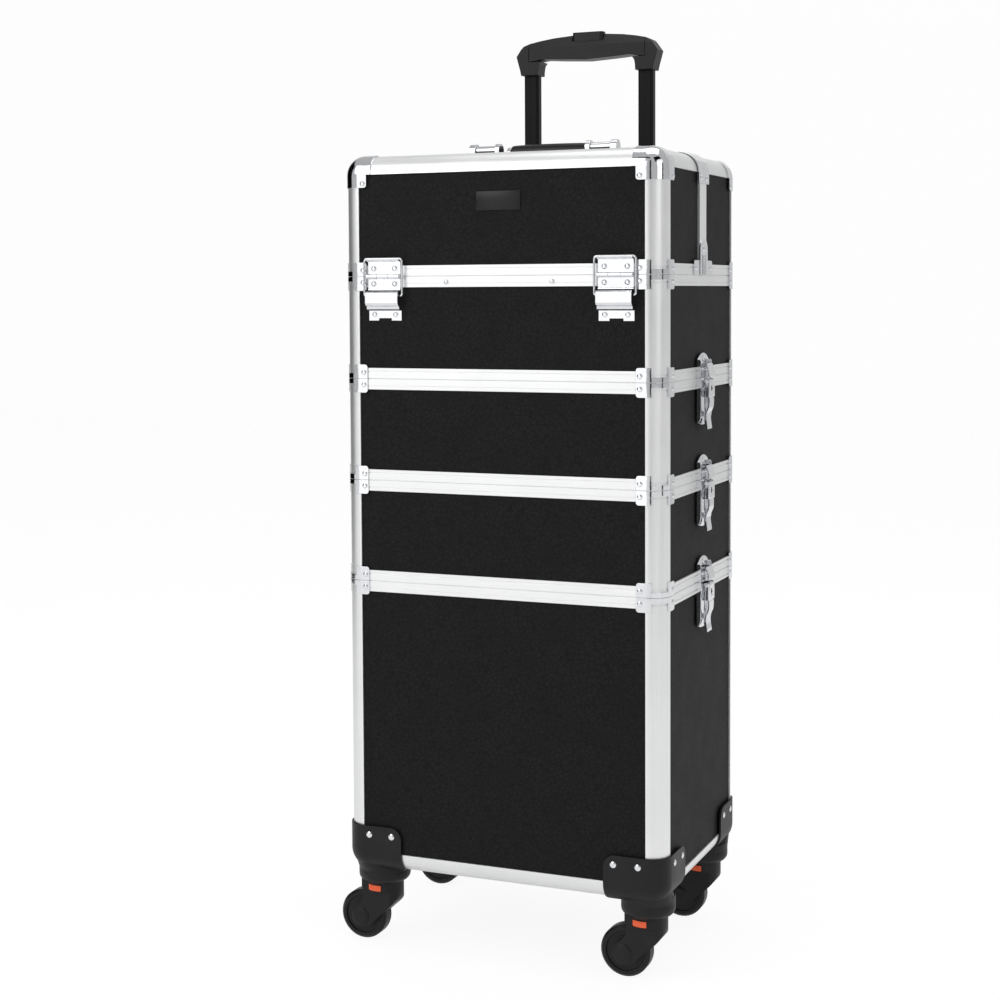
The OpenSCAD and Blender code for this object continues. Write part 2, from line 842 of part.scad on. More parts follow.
// A bar screwed to the back panel that clasps both outer tubes, its foot at z
module tube_bracket(z) {
    back = half_d - panel_inset;
    translate([0, 0, z]) linear_extrude(bracket_h) difference() {
        union() {
            translate([-bracket_x, back]) square([2 * bracket_x, bracket_t]);
            for (s = [-1, 1]) translate([s * tube_x, tube_y]) tube_section(2, collar_t);
        }
        for (s = [-1, 1]) translate([s * tube_x, tube_y]) tube_section(2);
    }
    for (x = [-bracket_x + 7, -tube_x + 22, tube_x - 22, bracket_x - 7])
        rivet_at(x, z + bracket_h / 2, back + bracket_t);
}

module trolley_tube_brackets() {
    color(BLACK) {
        tube_bracket(outer_low);
        tube_bracket(outer_top - rail_h - bracket_h - 6);
    }
}

grip_half_w = 82;
grip_depth = 21;
grip_arch = 8;
leg_w = 21;
bar_t = 24;
button_l = 36;
button_w = 12;
button_h = 11;
button_rise = 2;
button_travel = 2;
// Drop of the bar's widest place below its top, and the bevels of its outer and inner corners
grip_shoulder = 20;
grip_bevel = 8;
grip_inner = 3;
// Radius of the bar's arched top
arch_r = (pow(grip_half_w - grip_bevel, 2) + pow(grip_arch, 2)) / (2 * grip_arch);

// The grip's front outline, x across and z up
module grip_outline() {
    top = grip_top - button_rise;
    inner = tube_x - leg_w / 2;
    outer = tube_x + leg_w / 2;
    half = [[grip_half_w - grip_bevel, top], [grip_half_w - grip_bevel, top - grip_arch],
        [grip_half_w, top - grip_shoulder], [outer, grip_low], [inner, grip_low],
        [inner - grip_inner, top - bar_t + grip_inner], [inner - 2 * grip_inner, top - bar_t]];
    intersection() {
        polygon(concat(half, [for (i = [len(half) - 1:-1:0]) [-half[i][0], half[i][1]]]));
        translate([0, top - arch_r]) circle(arch_r, $fn = 180);
    }
}

module trolley_grip() {
    color(BLACK) difference() {
        intersection() {
            translate([0, tube_y - grip_depth / 2, 0]) upright(0, grip_depth) grip_outline();
            translate([0, tube_y, grip_low]) linear_extrude(grip_top - grip_low)
                round_rect(2 * grip_half_w, grip_depth, 7);
        }
        for (s = [-1, 1]) translate([s * tube_x, tube_y, grip_low - e])
            linear_extrude(grip_socket + slide_gap) tube_section(0);
        translate([0, tube_y, grip_top - button_h - button_travel - 1]) linear_extrude(button_h * 2)
            round_rect(button_l + 2 * slide_gap, button_w + 2 * slide_gap, 4 + slide_gap);
    }
}

module trolley_button() {
    color(BLACK) translate([0, tube_y, grip_top - button_h]) linear_extrude(button_h)
        round_rect(button_l, button_w, 4);
}

// ---------------------------------------------------------------------- casters

housing_t = 2.2;
housing_flank = 61.5;
housing_h = 46;
housing_top = case_z + housing_h;
housing_round = 12;
neck_r = 26.6;
neck_low = case_z - 13.4;
// Height of the cone that tapers the neck's foot, and the foot's radius
neck_cone = 5.4;
neck_foot_r = 21;
stem_r = 5.5;
stem_l = 11.4;
housing_rivets = [26, 51];
housing_rivet_drop = 9;
housing_rivet_r = 3.2;
head_r = 19.5;
head_h = 15;
head_top = neck_low - 0.4;
cheek_t = 4;
cheek_y = wheel_w / 2 + 0.6;
boss_r = 15;
cap_r = 9.5;
cap_t = 0.8;
axle_r = 3;
// Where the fork's front wall starts, ahead of the stem
web_x = 6.5;

// The space that the case's rounded lower corner takes, grown by g
module corner_block(g) {
    r = edge_r + g;
    translate([corner_x, corner_y, case_z + edge_r]) {
        sphere(r = r);
        cylinder(r = r, h = case_z);
        rotate([0, -90, 0]) cylinder(r = r, h = corner_x);
        rotate([90, 0, 0]) cylinder(r = r, h = corner_y);
        translate([-corner_x, 0, 0]) cube([corner_x, r, case_z]);
        translate([0, -corner_y, 0]) cube([r, corner_y, case_z]);
        translate([-corner_x, -corner_y, -r]) cube([corner_x, corner_y, case_z]);
    }
}

// One corner housing, drawn for the corner at +x +y
module corner_housing() {
    difference() {
        union() {
            intersection() {
                corner_block(housing_t);
                union() {
                    translate([half_w - housing_flank, half_d + housing_t, 0])
                        rotate([90, 0, 0]) linear_extrude(edge_r + housing_t) flank_outline();
                    translate([half_w - edge_r, half_d - housing_flank, 0])
                        rotate([90, 0, 90]) linear_extrude(edge_r + housing_t) flank_outline();
                }
            }
            hull() {
                translate([corner_x - 1, corner_y - 1, case_z + 10])
                    cylinder(r = edge_r, h = 1, $fn = 32);
                translate([stem_x, stem_y, neck_low + neck_cone + 4])
                    cylinder(r = neck_r, h = 3, $fn = 32);
            }
            translate([stem_x, stem_y, neck_low])
                cylinder(r1 = neck_foot_r, r2 = neck_r, h = neck_cone);
            translate([stem_x, stem_y, neck_low + neck_cone])
                cylinder(r = neck_r, h = case_z + 2 - neck_low - neck_cone);
        }
        corner_block(0);
        translate([stem_x, stem_y, neck_low - 1]) cylinder(r = stem_r + pin_fit, h = stem_l + 1.5);
    }
}

module corner_housing_rivets() {
    z = housing_top - housing_rivet_drop;
    for (d = housing_rivets) {
        rivet_at(half_w - d, z, half_d + housing_t, housing_rivet_r);
        translate([half_w + housing_t, half_d - d, z]) rotate([0, 90, 0]) rivet(housing_rivet_r);
    }
}

// A flank seen square on: its inner corners are round
module flank_outline() {
    low = case_z - housing_t;
    high = housing_top;
    foot = housing_round / 2;
    translate([housing_round, low]) square([housing_flank + 4 - housing_round, high - low]);
    translate([0, low + foot]) square([housing_round, high - low - foot - housing_round]);
    translate([housing_round, high - housing_round]) circle(housing_round);
    translate([foot, low + foot]) circle(foot);
    translate([foot, low]) square([housing_round - foot, foot]);
}

module caster_housings() {
    color(BLACK) at_corners() corner_housing();
}

module caster_rivets() {
    color(CHROME) at_corners() corner_housing_rivets();
}

// Places a caster, drawn with its stem on the z axis and trailing towards -x
module at_stem(x, y) {
    translate([x * stem_x, y * stem_y, 0]) children();
}

tab_w = 15;
tab_h = 7.6;
tab_x = -6;
tab_z = head_top - 12;
tab_depth = 5.5;
tab_travel = 1.5;

// The fork seen from the side, relative to the wheel's centre
module cheek_outline() {
    translate([-trail, wheel_r]) {
        circle(boss_r);
        polygon([[-6.4, 13.6], [-2, 16.6], [6.4, 21], [5, 33], [trail + head_r, 33],
            [trail + head_r, 29], [trail + head_r - 1, 24], [trail + head_r - 4, 18],
            [22.7, 1.3], [10.3, -10.9]]);
    }
}

// What the head's round front leaves of the cheeks
module head_reach() {
    cylinder(r = head_r, h = head_top);
    translate([-2 * (trail + boss_r), -head_r, 0]) cube([2 * (trail + boss_r), 2 * head_r, head_top]);
}

module caster_fork() {
    cap_y = cheek_y + cheek_t;
    color(BLACK) {
        difference() {
            union() {
                translate([0, 0, head_top - head_h]) cylinder(r = head_r, h = head_h);
                intersection() {
                    head_reach();
                    for (s = [-1, 1]) translate([0, s * (cheek_y + cheek_t / 2) - cheek_t / 2, 0])
                        upright(0, cheek_t) cheek_outline();
                }
                intersection() {
                    head_reach();
                    translate([0, -cap_y, 0]) upright(0, 2 * cap_y) cheek_outline();
                    translate([web_x, -cap_y, 0]) cube([head_r, 2 * cap_y, head_top]);
                }
                for (s = [0, 1]) mirror([0, s, 0]) translate([-trail, cap_y, wheel_r])
                    rotate([-90, 0, 0]) cylinder(r = cap_r, h = cap_t);
            }
            translate([tab_x - tab_w / 2 - slide_gap, -head_r - 1, tab_z - slide_gap])
                cube([tab_w + 2 * slide_gap, tab_depth + 1 + tab_travel + slide_gap,
                    tab_h + 2 * slide_gap]);
        }
        translate([0, 0, head_top - e]) cylinder(r = stem_r, h = stem_l + e);
        translate([-trail, -cap_y, wheel_r]) rotate([-90, 0, 0]) cylinder(r = axle_r, h = 2 * cap_y);
    }
}

module caster_wheel() {
    color(BLACK) translate([-trail, 0, wheel_r]) rotate([-90, 0, 0]) rotate_extrude()
        difference() {
            translate([axle_r + pin_fit, -wheel_w / 2]) square([wheel_r - axle_r - pin_fit, wheel_w]);
            for (s = [-1, 1]) {
                translate([wheel_r, s * (wheel_w / 2)]) rotate(45) square(3.6, center = true);
                translate([boss_r + 2.5, s * (wheel_w / 2)]) square([4, 3], center = true);
            }
        }
}

module release_tab() {
    color(ORANGE) intersection() {
        translate([tab_x - tab_w / 2, -head_r - 1, tab_z]) cube([tab_w, tab_depth + 1, tab_h]);
        translate([0, 0, tab_z - 1]) cylinder(r = head_r + 0.3, h = tab_h + 2);
    }
}

// ------------------------------------------------------------------------ nodes

bottom_panels();
bottom_frame();
bottom_corner_brackets();
bottom_latch_bases();
caster_housings();
caster_rivets();
trolley_outer_tubes();
trolley_tube_brackets();
tier_panels(seam_4);  // tier_3_panels
tier_frame(seam_4);  // tier_3_frame
tier_brackets(seam_4);  // tier_3_corner_brackets
tier_latch_plates(seam_4);  // tier_3_latch_plates
tier_panels(seam_3);  // tier_2_panels
tier_frame(seam_3);  // tier_2_frame
tier_brackets(seam_3);  // tier_2_corner_brackets
tier_latch_plates(seam_3);  // tier_2_latch_plates
tier_panels(seam_2);  // tier_1_panels
tier_frame(seam_2);  // tier_1_frame
tier_brackets(seam_2);  // tier_1_corner_brackets
tier_1_latch_plates();
hinge_lower_leaves();
hinge_spring_housings();
lid_panels();
lid_frame();
lid_corner_caps();
lid_latch_strikes();
hinge_upper_leaves();
lid_centre_band();
lid_band_brackets();
lid_top_fittings();
on_front(-hinge_x, seam_1) hinge_bail();  // hinge_bail_left
on_front(hinge_x, seam_1) hinge_bail();  // hinge_bail_right
carry_handle_arms();
carry_handle_grip();
strap_ring(-saddle_x);  // strap_ring_left
strap_ring(saddle_x);  // strap_ring_right
on_left(seam_4) latch_lever();  // latch_lever_4_left
on_right(seam_4) latch_lever();  // latch_lever_4_right
on_left(seam_3) latch_lever();  // latch_lever_3_left
on_right(seam_3) latch_lever();  // latch_lever_3_right
on_left(seam_2) latch_lever();  // latch_lever_2_left
on_right(seam_2) latch_lever();  // latch_lever_2_right
on_back(-hinge_x, seam_1) latch_lever();  // latch_lever_rear_left
on_back(hinge_x, seam_1) latch_lever();  // latch_lever_rear_right
at_stem(-1, -1) caster_fork();  // caster_fork_front_left
at_stem(1, -1) caster_fork();  // caster_fork_front_right
at_stem(-1, 1) caster_fork();  // caster_fork_back_left
at_stem(1, 1) caster_fork();  // caster_fork_back_right
at_stem(-1, -1) caster_wheel();  // caster_wheel_front_left
at_stem(1, -1) caster_wheel();  // caster_wheel_front_right
at_stem(-1, 1) caster_wheel();  // caster_wheel_back_left
at_stem(1, 1) caster_wheel();  // caster_wheel_back_right
at_stem(-1, -1) release_tab();  // release_tab_front_left
at_stem(1, -1) release_tab();  // release_tab_front_right
at_stem(-1, 1) release_tab();  // release_tab_back_left
at_stem(1, 1) release_tab();  // release_tab_back_right
trolley_middle_tubes();
trolley_inner_tubes();
trolley_grip();
trolley_button();
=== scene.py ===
import math

import bmesh
import bpy
from bpy.props import FloatProperty, FloatVectorProperty, PointerProperty
from mathutils import Euler, Matrix, Vector


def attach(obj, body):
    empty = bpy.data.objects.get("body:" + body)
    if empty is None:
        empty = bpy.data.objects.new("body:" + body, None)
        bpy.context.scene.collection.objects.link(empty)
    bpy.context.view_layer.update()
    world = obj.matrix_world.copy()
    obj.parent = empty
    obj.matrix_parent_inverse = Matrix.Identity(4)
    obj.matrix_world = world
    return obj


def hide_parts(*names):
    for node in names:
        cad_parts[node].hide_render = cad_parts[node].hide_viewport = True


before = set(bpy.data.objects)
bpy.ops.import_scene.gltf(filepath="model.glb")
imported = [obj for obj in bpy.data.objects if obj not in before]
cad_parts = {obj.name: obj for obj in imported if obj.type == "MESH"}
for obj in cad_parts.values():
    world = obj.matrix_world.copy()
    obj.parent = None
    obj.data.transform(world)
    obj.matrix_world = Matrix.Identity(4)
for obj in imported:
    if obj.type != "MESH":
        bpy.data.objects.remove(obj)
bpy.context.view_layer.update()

bl_info = {
    "name": "Rolling makeup train case",
    "version": (1, 0, 0),
    "blender": (4, 5, 0),
    "location": "View3D > Sidebar > Train case",
    "description": "Finishes and detail pieces for a rolling makeup train case",
    "category": "Object",
}

MM = 0.001
# The case's half width and half depth over its aluminium edges, in millimetres
HALF_W, HALF_D = 170.0, 125.0
CORNERS = ("front_left", "front_right", "back_left", "back_right")
# Heights of the seams, counted from the lid down
SEAMS = {1: 687.5, 2: 585.0, 3: 482.5, 4: 380.0}
# Points closer than this, in metres, are one point
WELD = 1e-6
BEVEL_STEPS = 2


# ------------------------------------------------------------------ shader maths

class Socket:
    """A shader output that Python's operators turn into Math nodes."""

    def __init__(self, graph, output):
        self.graph = graph
        self.output = output

    def math(self, operation, *others):
        node = self.graph.tree.nodes.new("ShaderNodeMath")
        node.operation = operation
        for slot, value in zip(node.inputs, others):
            self.graph.feed(slot, value)
        return Socket(self.graph, node.outputs[0])

    def __add__(self, other):
        return self.math("ADD", self, other)

    def __radd__(self, other):
        return self.math("ADD", other, self)

    def __sub__(self, other):
        return self.math("SUBTRACT", self, other)

    def __rsub__(self, other):
        return self.math("SUBTRACT", other, self)

    def __mul__(self, other):
        return self.math("MULTIPLY", self, other)

    def __rmul__(self, other):
        return self.math("MULTIPLY", other, self)

    def __abs__(self):
        return self.math("ABSOLUTE", self)

    def above(self, other):
        return self.math("GREATER_THAN", self, other)

    def clamp(self):
        return self.graph.node("ShaderNodeClamp", None, {"Value": self})


class Finish:
    """A material whose nodes are made one call at a time."""

    def __init__(self, name):
        self.material = bpy.data.materials.new(name)
        self.material.use_nodes = True
        self.tree = self.material.node_tree
        self.shader = self.tree.nodes["Principled BSDF"]
        self.place = self.node("ShaderNodeTexCoord", out="Object")

    def feed(self, slot, value):
        if isinstance(value, Socket):
            self.tree.links.new(value.output, slot)
        else:
            slot.default_value = value

    def node(self, kind, settings=None, values=None, out=0):
        made = self.tree.nodes.new(kind)
        for key, value in (settings or {}).items():
            setattr(made, key, value)
        for key, value in (values or {}).items():
            self.feed(made.inputs[key], value)
        return Socket(self, made.outputs[out])

    def axes(self):
        """The object's x, y and z, in metres."""
        split = self.tree.nodes.new("ShaderNodeSeparateXYZ")
        self.feed(split.inputs[0], self.place)
        return [Socket(self, output) for output in split.outputs]

    def stretched(self, x, y, z):
        """The place scaled by one factor along each axis."""
        return self.node("ShaderNodeMapping", None, {"Vector": self.place, "Scale": (x, y, z)})

    def noise(self, scale, detail=2.0, roughness=0.5, vector=None):
        return self.node("ShaderNodeTexNoise", None, {
            "Vector": vector or self.place, "Scale": scale, "Detail": detail,
            "Roughness": roughness}, out="Fac")

    def cells(self, scale, feature="F1"):
        return self.node("ShaderNodeTexVoronoi", {"feature": feature}, {
            "Vector": self.place, "Scale": scale}, out="Distance")

    def ramp(self, value, low, high):
        """A smooth step from 0 at low to 1 at high."""
        return self.node("ShaderNodeMapRange", {"interpolation_type": "SMOOTHSTEP"}, {
            "Value": value, "From Min": low, "From Max": high})

    def mix(self, factor, a, b):
        node = self.tree.nodes.new("ShaderNodeMix")
        node.data_type = "RGBA"
        self.feed(node.inputs[0], factor)
        self.feed(node.inputs[6], a)
        self.feed(node.inputs[7], b)
        return Socket(self, node.outputs[2])

    def bump(self, height, distance, strength, edge=0.0):
        """Relief from a height, over edges rounded by `edge` metres."""
        values = {"Height": height, "Distance": distance, "Strength": strength}
        if edge:
            values["Normal"] = self.node("ShaderNodeBevel", {"samples": 4}, {"Radius": edge})
        return self.node("ShaderNodeBump", None, values)

    def set(self, **values):
        """Feeds the shader's inputs, their names written with underscores."""
        for key, value in values.items():
            self.feed(self.shader.inputs[key.replace("_", " ")], value)
        return self.material


def shade(tint, *factors):
    """The tint times one factor, or times one for each channel, as a shader colour."""
    if len(factors) == 1:
        factors *= 3
    return (*(channel * factor for channel, factor in zip(tint, factors)), 1)


def leatherette(tint):
    """Fine pebbled black sheet over flat board. Painted shade makes the hollows of its pebbling and
    its creases darker, and its pebble tops are painted lighter.
    """
    f = Finish("black leatherette")
    swirl = f.noise(34, 3)
    pebble = f.cells(620)
    crease = f.cells(210, "DISTANCE_TO_EDGE")
    grain = f.noise(900, 3)
    height = pebble * 0.55 + f.ramp(crease, 0.0, 0.16) * 0.5 + grain * 0.35
    # Painted shade and light: the colour follows the relief, darker in the pebbling's hollows and
    # along the creases, lighter on the pebble tops
    colour = f.mix(f.ramp(height, 0.4, 1.1), shade(tint, 0.7), shade(tint, 1.35))
    colour = f.mix(f.ramp(swirl, 0.35, 0.7) * 0.35, colour, shade(tint, 0.8))
    return f.set(Base_Color=colour, Roughness=0.46 + grain * 0.16 + swirl * 0.08,
                 Specular_IOR_Level=0.11, Normal=f.bump(height, 0.0002, 0.8))


def aluminium(tint):
    """Anodised extrusion: fine drawn lines that run along each profile."""
    post, rail = 19.8 * MM, 2.5 * MM
    across, along = 2600, 9
    f = Finish("satin aluminium")
    x, y, _ = f.axes()
    upright = abs(x).above(HALF_W * MM - post) * abs(y).above(HALF_D * MM - post)
    along_z = f.noise(1.0, 3, 0.6, f.stretched(across, across, along))
    along_x = f.noise(1.0, 3, 0.6, f.stretched(along, across, across))
    along_y = f.noise(1.0, 3, 0.6, f.stretched(across, along, across))
    side = abs(x).above(HALF_W * MM - rail)
    level = along_x * (1 - side) + along_y * side
    lines = along_z * upright + level * (1 - upright)
    cloud = f.noise(22, 4)
    colour = f.mix(f.ramp(lines * 0.7 + cloud * 0.3, 0.3, 0.7), shade(tint, 0.9, 0.9, 0.91),
                   shade(tint, 1))
    return f.set(Base_Color=colour, Metallic=0.85, Roughness=0.28 + lines * 0.14 + cloud * 0.06,
                 Normal=f.bump(lines, 0.00004, 0.5, 0.0004))


def chrome(tint, name="chrome plate"):
    """Bright plating with faint handling marks."""
    f = Finish(name)
    smudge = f.noise(60, 4)
    fine = f.noise(1400, 2)
    colour = f.mix(f.ramp(smudge, 0.4, 0.75) * 0.5, shade(tint, 1), shade(tint, 0.86, 0.87, 0.9))
    return f.set(Base_Color=colour, Metallic=1.0, Roughness=0.05 + smudge * 0.08 + fine * 0.03,
                 Normal=f.bump(smudge, 0.0006, 0.3, 0.0006))


def moulded(tint, name, roughness=0.4, grain=1500, depth=0.00005):
    """Black injection-moulded plastic with a fine spark-eroded skin."""
    f = Finish(name)
    skin = f.noise(grain, 2)
    cloud = f.noise(38, 3)
    rub = f.ramp(cloud, 0.45, 0.75)
    colour = f.mix(rub * 0.5, shade(tint, 1), shade(tint, 1.5))
    return f.set(Base_Color=colour, Roughness=roughness + skin * 0.1 - rub * 0.06,
                 Specular_IOR_Level=0.26, Normal=f.bump(skin, depth, 0.6, 0.0008))


def painted_tube(tint):
    """Satin black tube with faint rub lines where the stages slide."""
    f = Finish("black tube")
    rub = f.noise(1.0, 3, 0.6, f.stretched(1900, 1900, 5))
    speck = f.noise(900, 2)
    colour = f.mix(f.ramp(rub, 0.55, 0.8) * 0.5, shade(tint, 1), shade(tint, 1.9, 1.9, 2.0))
    return f.set(Base_Color=colour, Roughness=0.26 + rub * 0.14 + speck * 0.04,
                 Specular_IOR_Level=0.09, Normal=f.bump(speck, 0.00002, 0.4))


def orange_plastic(tint):
    """Bright moulded plastic of the release tabs."""
    f = Finish("orange plastic")
    skin = f.noise(1300, 2)
    cloud = f.noise(300, 2)
    colour = f.mix(cloud * 0.4, shade(tint, 1), shade(tint, 0.88, 0.75, 0.7))
    return f.set(Base_Color=colour, Roughness=0.34 + skin * 0.1, Normal=f.bump(skin, 0.00003, 0.5))


# ---------------------------------------------------------------------- settings

class CaseColours(bpy.types.PropertyGroup):
    """Colours of the case's finishes."""
    leatherette: FloatVectorProperty(
        name="Leatherette", description="Colour of the covered panels", subtype="COLOR",
        size=3, min=0, max=1, default=(0.0105, 0.0105, 0.011))
    aluminium: FloatVectorProperty(
        name="Aluminium", description="Colour of the rails and corner posts", subtype="COLOR",
        size=3, min=0, max=1, default=(0.94, 0.945, 0.94))
    chrome: FloatVectorProperty(
        name="Chrome", description="Colour of the pressed fittings", subtype="COLOR",
        size=3, min=0, max=1, default=(0.80, 0.81, 0.83))
    plastic: FloatVectorProperty(
        name="Black plastic", description="Colour of the casters and grips", subtype="COLOR",
        size=3, min=0, max=1, default=(0.010, 0.010, 0.0105))
    tab: FloatVectorProperty(
        name="Release tab", description="Colour of the casters' tabs", subtype="COLOR",
        size=3, min=0, max=1, default=(1.0, 0.15, 0.045))


class CaseSizes(bpy.types.PropertyGroup):
    """Sizes of the pieces that this script adds."""
    plate_width: FloatProperty(
        name="Name plate width", description="Width of the bare plate on the lid",
        unit="LENGTH", default=0.047, min=0.02, max=0.12)
    plate_height: FloatProperty(
        name="Name plate height", description="Height of the bare plate on the lid",
        unit="LENGTH", default=0.019, min=0.01, max=0.06)


def colours():
    return bpy.context.scene.case_colours


def sizes():
    return bpy.context.scene.case_sizes


FINISHES = {}


def finish(name):
    """The named finish, made once."""
    if name not in FINISHES:
        c = colours()
        makers = {
            "leatherette": lambda: leatherette(c.leatherette),
            "aluminium": lambda: aluminium(c.aluminium),
            "chrome": lambda: chrome(c.chrome),
            "caster": lambda: moulded(c.plastic, "caster plastic", 0.40),
            "wheel": lambda: moulded(c.plastic, "wheel plastic", 0.34, 1100),
            "tube": lambda: painted_tube(c.plastic),
            "grip": lambda: moulded(c.plastic, "grip plastic", 0.36, 1700),
            "carry": lambda: moulded(c.plastic, "carry grip plastic", 0.24, 900, 0.00002),
            "tab": lambda: orange_plastic(c.tab),
            "dark": lambda: chrome((0.10, 0.10, 0.105), "dark steel"),
        }
        FINISHES[name] = makers[name]()
    return FINISHES[name]


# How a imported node's name starts and ends, and its finish; the first match counts
NODE_FINISHES = (
    ("", "_panels", "leatherette"), ("", "_frame", "aluminium"),
    ("lid_centre_band", "", "aluminium"), ("release_tab", "", "tab"),
    ("caster_wheel", "", "wheel"), ("caster_rivets", "", "chrome"), ("caster_", "", "caster"),
    ("trolley_grip", "", "grip"), ("trolley_button", "", "grip"), ("trolley_", "", "tube"),
    ("carry_handle_grip", "", "carry"), ("", "", "chrome"),
)


def finish_for(node):
    """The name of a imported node's finish."""
    return next(look for start, end, look in NODE_FINISHES
                if node.startswith(start) and node.endswith(end))


# ------------------------------------------------------------------- mesh helpers

def linked(name, data):
    """A new object of the scene."""
    made = bpy.data.objects.new(name, data)
    bpy.context.scene.collection.objects.link(made)
    return made


def mesh_of(bm, name):
    """The bmesh as a welded mesh with its normals outwards."""
    mesh = bpy.data.meshes.new(name)
    bmesh.ops.remove_doubles(bm, verts=bm.verts, dist=WELD)
    bmesh.ops.recalc_face_normals(bm, faces=bm.faces)
    bm.to_mesh(mesh)
    bm.free()
    return mesh


def finished(name, bm, body, material, replaces=(), smooth=35):
    """The object made from a bmesh, riding on its body with its finish."""
    mesh = mesh_of(bm, name)
    piece = linked(name, mesh)
    mesh.shade_smooth()
    mesh.set_sharp_from_angle(angle=math.radians(smooth))
    mesh.materials.append(finish(material))
    if replaces:
        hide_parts(*replaces)
    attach(piece, body)
    return piece


def turned(axis, degrees):
    """A turn about one axis."""
    return Matrix.Rotation(math.radians(degrees), 4, axis)


def shift(x=0.0, y=0.0, z=0.0):
    """A move in millimetres."""
    return Matrix.Translation(Vector((x, y, z)) * MM)


def rounded(bm, edges, size):
    """Rounds edges by a size in millimetres."""
    bmesh.ops.bevel(bm, geom=edges, offset=size * MM, segments=BEVEL_STEPS, profile=0.5,
                    affect="EDGES", material=-1, clamp_overlap=True)


def add_box(bm, low, high, bevel):
    """A box between two corners, in millimetres, with its edges rounded."""
    low, high = Vector(low) * MM, Vector(high) * MM
    made = bmesh.ops.create_cube(bm, size=1.0)["verts"]
    bmesh.ops.scale(bm, verts=made, vec=high - low)
    bmesh.ops.translate(bm, verts=made, vec=(low + high) / 2)
    rounded(bm, list({e for v in made for e in v.link_edges}), bevel)


def loop_of(bm, points, place):
    """A closed ring of edges through (across, up) points on the plane of `place`."""
    verts = [bm.verts.new(place @ (Vector((x, 0, z)) * MM)) for x, z in points]
    return [bm.edges.new((a, b)) for a, b in zip(verts, verts[1:] + verts[:1])]


def add_sheet(bm, outline, low, high, place=Matrix(), holes=(), bevel=0.0):
    """A flat outline in the local x-z plane, with holes, from y = low to y = high."""
    start = place @ shift(0, low, 0)
    edges = loop_of(bm, outline, start)
    for hole in holes:
        edges += loop_of(bm, hole, start)
    faces = [g for g in bmesh.ops.triangle_fill(bm, edges=edges, use_beauty=True)["geom"]
             if isinstance(g, bmesh.types.BMFace)]
    grown = bmesh.ops.extrude_face_region(bm, geom=faces, use_keep_orig=True)["geom"]
    verts = [g for g in grown if isinstance(g, bmesh.types.BMVert)]
    push = (place.to_3x3() @ Vector((0, 1, 0))) * ((high - low) * MM)
    bmesh.ops.translate(bm, verts=verts, vec=push)
    if bevel:
        top = set(verts)
        rims = [e for e in bm.edges if top.issuperset(e.verts)
                and len({tuple(round(c, 4) for c in f.normal) for f in e.link_faces
                         if f.calc_area() > 0}) > 1]
        rounded(bm, rims, bevel)


def add_bar(bm, profile, low, high, place):
    """A profile of (out, up) points in the local y-z plane, from x = low to x = high."""
    add_sheet(bm, [(-out, up) for out, up in profile], 0, high - low,
              place @ shift(low) @ turned("Z", -90))


def add_turned(bm, profile, place, steps=32):
    """A solid of revolution of (radius, out) points about the local y axis.

    A profile that ends where it starts makes a ring, without end faces.
    """
    rings = []
    for radius, out in profile:
        angles = [math.tau * i / steps for i in range(steps if radius else 1)]
        rings.append([bm.verts.new(place @ (Vector((
            radius * math.cos(angle), out, radius * math.sin(angle))) * MM)) for angle in angles])
    join_rings(bm, rings)
    if profile[0] != profile[-1]:
        close_rings(bm, rings)


def join_rings(bm, rings):
    """Faces between rings of the same number of points, or down to a single point."""
    for a, b in zip(rings, rings[1:]):
        steps = max(len(a), len(b))
        for i in range(steps):
            j = (i + 1) % steps
            corners = dict.fromkeys((a[i % len(a)], a[j % len(a)], b[j % len(b)], b[i % len(b)]))
            bm.faces.new(list(corners))


def close_rings(bm, rings):
    """End faces on the first and the last ring."""
    for ring in (rings[0], rings[-1]):
        if len(ring) > 1:
            bm.faces.new(ring)


def add_rod(bm, place, out, up, radius, low, high, steps=20):
    """A rod along the local x axis at (out, up), from x = low to x = high."""
    length, chamfer = high - low, radius * 0.2
    add_turned(bm, [(radius - chamfer, 0), (radius, chamfer), (radius, length - chamfer),
                    (radius - chamfer, length)],
               place @ shift(low, out, up) @ turned("Z", -90), steps)


def add_column(bm, plan, low, high, place):
    """A plan outline of (x, y) points, from z = low to z = high."""
    add_sheet(bm, plan, 0, high - low, place @ shift(0, 0, high) @ turned("X", -90))


def carved(bm, cutter, operation="DIFFERENCE"):
    """The bmesh less the cutter's solids, or their common part or sum."""
    block = linked("block", mesh_of(bm, "block"))
    tool = linked("tool", mesh_of(cutter, "tool"))
    cut = block.modifiers.new("cut", "BOOLEAN")
    cut.operation, cut.solver, cut.object = operation, "EXACT", tool
    shape = block.evaluated_get(bpy.context.evaluated_depsgraph_get())
    result = bmesh.new()
    result.from_mesh(shape.to_mesh())
    shape.to_mesh_clear()
    for item in (block, tool):
        mesh = item.data
        bpy.data.objects.remove(item)
        bpy.data.meshes.remove(mesh)
    return result


def arc(x, z, radius, start, end, steps=16):
    """Points of an arc round (x, z), its angles in degrees."""
    return [(x + radius * math.cos(math.radians(start + (end - start) * i / steps)),
             z + radius * math.sin(math.radians(start + (end - start) * i / steps)))
            for i in range(steps + 1)]


def on_face(side, across, seam):
    """The place of a fitting on the back or a side, its out axis pointing away from it."""
    spin, half = {"back": (0, HALF_D), "right": (-90, HALF_W), "left": (90, HALF_W)}[side]
    return turned("Z", spin) @ shift(across, half, seam)


# --------------------------------------------------------------------- operators

